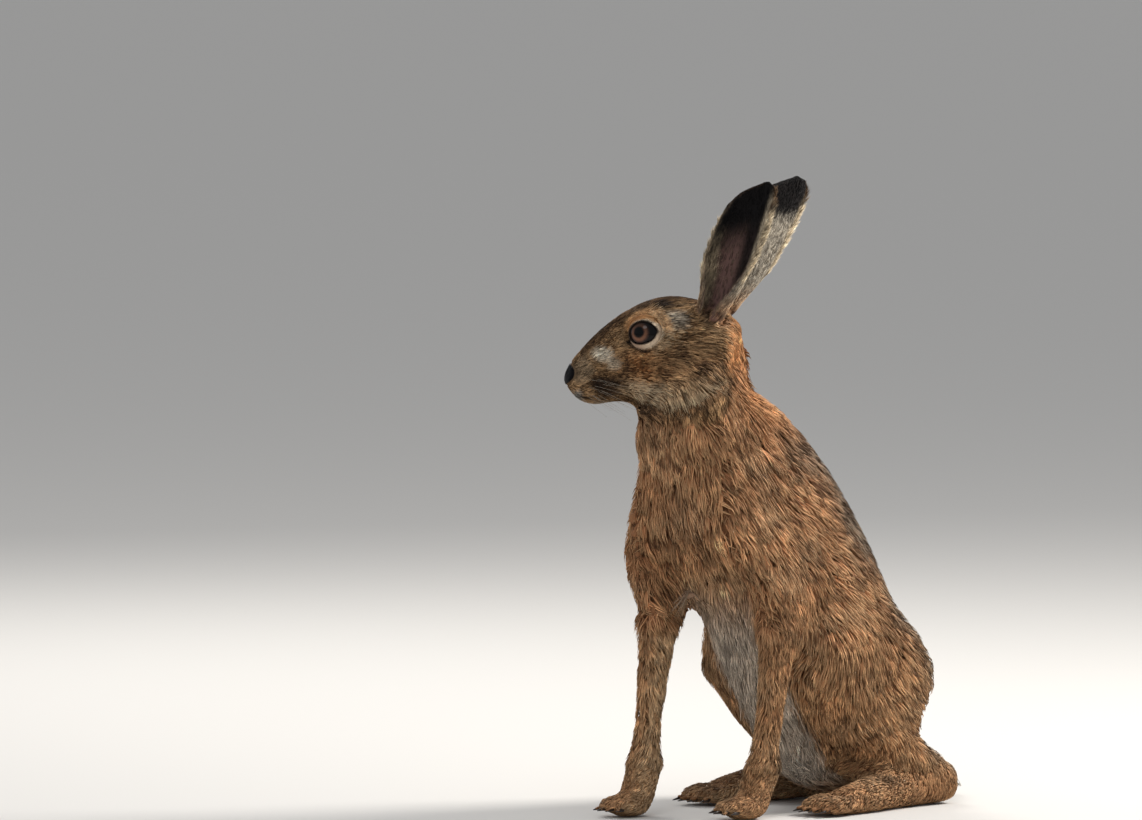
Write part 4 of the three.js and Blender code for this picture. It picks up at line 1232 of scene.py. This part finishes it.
def make_whiskers(finish):
    """Long tapered hairs from the sides of the muzzle."""
    draw = np.random.default_rng(SEED + 90)
    shape = bmesh.new()
    for side in (LEFT, RIGHT):
        for row in range(4):
            for column in range(4):
                root = np.array((-104 + 4.5 * column, side * (6.5 + 0.9 * column), 284 - 2.6 * row))
                way = unit((0.75 + 0.15 * column, side * 0.45, 0.1 - 0.2 * row + 0.1 * draw.normal()))
                add_whisker(shape, root, way, draw.uniform(18, 34), draw)
    mesh_object("whiskers", shape, finish)


WHISKER_STEPS = 6
WHISKER_BASE, WHISKER_POINT = 0.14, 0.04


def add_whisker(shape, root, way, length, draw):
    """One hair of three sides, bent back and down along its length."""
    ring = None
    droop = draw.uniform(0.1, 0.25)
    for step in range(WHISKER_STEPS + 1):
        t = step / WHISKER_STEPS
        at = root + way * length * t + np.array((0.25 * t * t * length, 0, -droop * t * t * length))
        centre = Vector(from_head(at)[0])
        thick = (WHISKER_BASE * (1 - t) + WHISKER_POINT) * MM
        turns = (0, 2 * math.pi / 3, 4 * math.pi / 3)
        circle = [shape.verts.new(centre + Vector((0, math.cos(a), math.sin(a))) * thick) for a in turns]
        if ring is None:
            shape.faces.new(circle)
        else:
            for k in range(3):
                shape.faces.new((ring[k], ring[(k + 1) % 3], circle[(k + 1) % 3], circle[k]))
        ring = circle
    shape.faces.new(ring)


# Assembly. How bright the skin is under the coat, and the share of its triangles that stays there.

UNDER_COAT = 0.72
THINNING = 0.6


def thin_hidden_skin(skin, keep):
    """Fewer triangles where the coat hides the skin; keep is 1 on the face and the ears."""
    hidden = skin.vertex_groups.new(name="hidden")
    for index in np.flatnonzero(keep < 0.05):
        hidden.add([int(index)], 1.0, "REPLACE")
    thinning = skin.modifiers.new("thinning", "DECIMATE")
    thinning.vertex_group = hidden.name
    thinning.vertex_group_factor = 1000
    thinning.ratio = THINNING
    applied(skin)
    skin.vertex_groups.clear()


skin, shell = make_skin()
owner = nearest_nodes(shell.points)
body = to_body(shell.points)
head = to_head(shell.points)


def share_of(names, rounds):
    """1 on the skin of the named nodes and 0 off it, softened by a number of rounds."""
    return shell.relaxed(among(owner, names).astype(float), 0.5, rounds)


is_head = share_of(["head"], 14)
is_ear = share_of(EARS, 3)
ear_height, ear_inside, ear_across = ear_fields(shell, owner)
ear_inside = shell.relaxed(ear_inside, 0.5, 2)

marks = Markings(len(body))
smooth_normals = shell.relaxed(shell.normals(), 0.5, 30)
paint_body(marks, body, smooth_normals, is_head, share_of(TRUNK, 20), share_of(["tail"], 10))
paint_head(marks, head, is_head)
bare_lids = paint_eyes(marks, shell.points)
paint_ears(marks, is_ear, ear_height, ear_inside, ear_across)
# The nose painted black on the skin: its dark leather and painted shade
nose = spot(mirrored(head), NOSE_PAD, NOSE_SIZE, 0.12)
marks.paint(nose, BLACK, BLACK, 0.0)

_, length, width, height, density, _ = shell.relaxed(cover_of(owner), 0.5, 25).T
eyes = near_eyes(shell.points)
bare = np.maximum(bare_lids, fade(0.2, 0.6, nose))
face = is_head * fade(-30, -95, head[:, 0])
ruff = ruff_share(head) * bell(above_ruff_edge(head), 7, 7.0)
short = 1 - 0.45 * face - 0.5 * fade(2.6, 1.5, eyes) * is_head + 0.6 * ruff
core = is_ear * ear_inside * fade(0.75, 0.5, np.abs(ear_across))
mouth = is_head * mouth_line(mirrored(head))
coat_fields = {
    "flow": coat_lie(shell, owner),
    "length": length * short,
    "width": width * (0.35 + 0.65 * short),
    "height": height * short,
    "inside": ear_inside,
    "root": 0.3 + 0.05 * is_head + 0.5 * is_ear + 0.3 * fade(2.2, 1.6, eyes),
    "free": is_ear * fade(0.82, 0.95, np.abs(ear_across)) * fade(0.05, 0.2, ear_height),
    "density": density
    * (1 + 0.9 * face)
    * (1 + fade(2.4, 1.6, eyes))
    * (1 - bare)
    * (1 - 0.9 * core)
    * (1 - mouth),
}
skin_fur = fur_material("short fur", 0.8, bump=(1400, 0.6))
tuft_fur = fur_material("coat of tufts", 0.7)
finished(skin.data, skin_fur)
brightness = UNDER_COAT + (1 - UNDER_COAT) * np.maximum(bare, is_ear)
colour_points(skin.data, brightness[:, None] * marks.band)
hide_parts(*FLESH)
piece(skin)

# The coat's pieces on trunk and legs: nodes, line and way across of the unwrap in body millimetres, and on
# the trunk also the slot, and its own tousle, clump and pull. For the head and the ears there are lines in
# the head's frame, and the place along it where the cheeks begin.

TRUNK_COAT = (
    ("neck", ((-60, 0, 330), (-60, 0, 230)), (1, 0, 0), "coat_russet", (0.32, 10, 0.6)),
    ("chest", ((-60, 0, 270), (-20, 0, 120)), (1, 0, 0), "coat_russet", (0.32, 10, 0.6)),
    ("loin", ((-20, 0, 220), (10, 0, 70)), (1, 0, 0), "coat_back", ()),
    ("rump", ((30, 0, 150), (50, 0, 0)), (1, 0, 0), "coat_back", ()),
    ("tail", ((80, 0, 40), (180, 0, 10)), (0, 0, 1), "coat_white", ()),
)
LEG_COAT = (
    ("foreleg", ("upper_arm", "forearm", "forepaw"), ((-60, 36, 240), (-70, 36, 0)), (1, 0, 0)),
    ("hindleg", ("thigh", "shank", "hind_foot"), ((-40, 54, 40), (150, 54, 40)), (0, 0, 1)),
)
HEAD_LINE = ((-116, 0, 298), (6, 0, 298))
EAR_LINE = ((8, 20, 318), (14, 20, 420))
CHEEKS_START = -56

coat = Coat(shell, owner, coat_fields, marks, tuft_fur)
cheeks = head[:, 0] > CHEEKS_START
for name, where, clump, pull in (("coat_face", ~cheeks, 5, 0.3), ("coat_cheeks", cheeks, 11, 0.6)):
    line = head_turned(HEAD_LINE)
    coat.grow(name, ["head"], line, (0, 0, 1), "coat_face", 0.18, clump, pull, SHORT_TUFT, where)
for name, line, across, slot, combing in TRUNK_COAT:
    coat.grow(f"coat_{name}", [name], line, across, slot, *combing)
for side_name, side in SIDES:
    for name, parts, line, across in LEG_COAT:
        nodes = [f"{part}_{side_name}" for part in parts]
        coat.grow(f"coat_{name}_{side_name}", nodes, on_side(line, side), across, "coat_russet", 0.22)
    line = head_turned(on_side(EAR_LINE, side))
    nodes = [f"ear_{side_name}"]
    coat.grow(f"coat_ear_{side_name}", nodes, line, (1, 0, 0), "ear", 0.1, 5, 0.1, SHORT_TUFT)
    ball = make_eye(side_name, side)
    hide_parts(f"eye_{side_name}")

make_nose(shell, nose, nose_material())
make_claws(material("dark horn", 0.35, srgb(44, 34, 28))[0])
make_whiskers(material("stiff hair", 0.5, srgb(150, 138, 122))[0])
thin_hidden_skin(skin, np.maximum(is_head * fade(-30, -45, head[:, 0]), is_ear))

# Camera, light and floor

VIEW_POINT = Vector((-0.1180, 0.0859, 0.2613))
AZIMUTH, ELEVATION, DISTANCE, LENS = -45.0, 4.0, 12.0, 582.0


def place_camera():
    a, e = math.radians(AZIMUTH), math.radians(ELEVATION)
    back = Vector((math.sin(a) * math.cos(e), -math.cos(a) * math.cos(e), math.sin(e)))
    data = bpy.data.cameras.new("camera")
    data.lens, data.sensor_width = LENS, 36.0
    data.clip_end = 100
    camera = added("camera", data)
    camera.location = VIEW_POINT + back * DISTANCE
    camera.rotation_euler = back.to_track_quat("Z", "Y").to_euler()
    bpy.context.scene.camera = camera


# Each light: its name, place and size in metres, power in watts and colour. The sky's colour and strength.

LIGHTS = (
    ("key", (1.2, -0.8, 1.5), 0.8, 50, (1.0, 0.97, 0.93)),
    ("fill", (-1.5, -0.9, 2.3), 1.2, 16, (0.95, 0.97, 1.0)),
    ("rim", (0.6, 1.4, 1.3), 0.9, 14, (1.0, 0.98, 0.95)),
)
SKY = {"Color": (0.80, 0.82, 0.85, 1), "Strength": 0.6}


def area_light(name, place, size, power, colour):
    data = bpy.data.lights.new(name, "AREA")
    data.shape, data.size, data.energy, data.color = "DISK", size, power, colour
    light = added(name, data)
    light.location = place
    light.rotation_euler = (Vector(place) - VIEW_POINT).to_track_quat("Z", "Y").to_euler()


def lay_floor():
    shape = bmesh.new()
    bmesh.ops.create_grid(shape, x_segments=1, y_segments=1, size=30)
    mesh = closed(shape, "floor")
    mesh.materials.append(material("pale floor", 0.9, (0.62, 0.60, 0.57))[0])
    added("floor", mesh)


place_camera()
for light in LIGHTS:
    area_light(*light)
lay_floor()
world = bpy.data.worlds.new("sky")
world.use_nodes = True
set_inputs(world.node_tree.nodes["Background"], SKY)
bpy.context.scene.world = world
bpy.context.scene.view_settings.view_transform = "Standard"
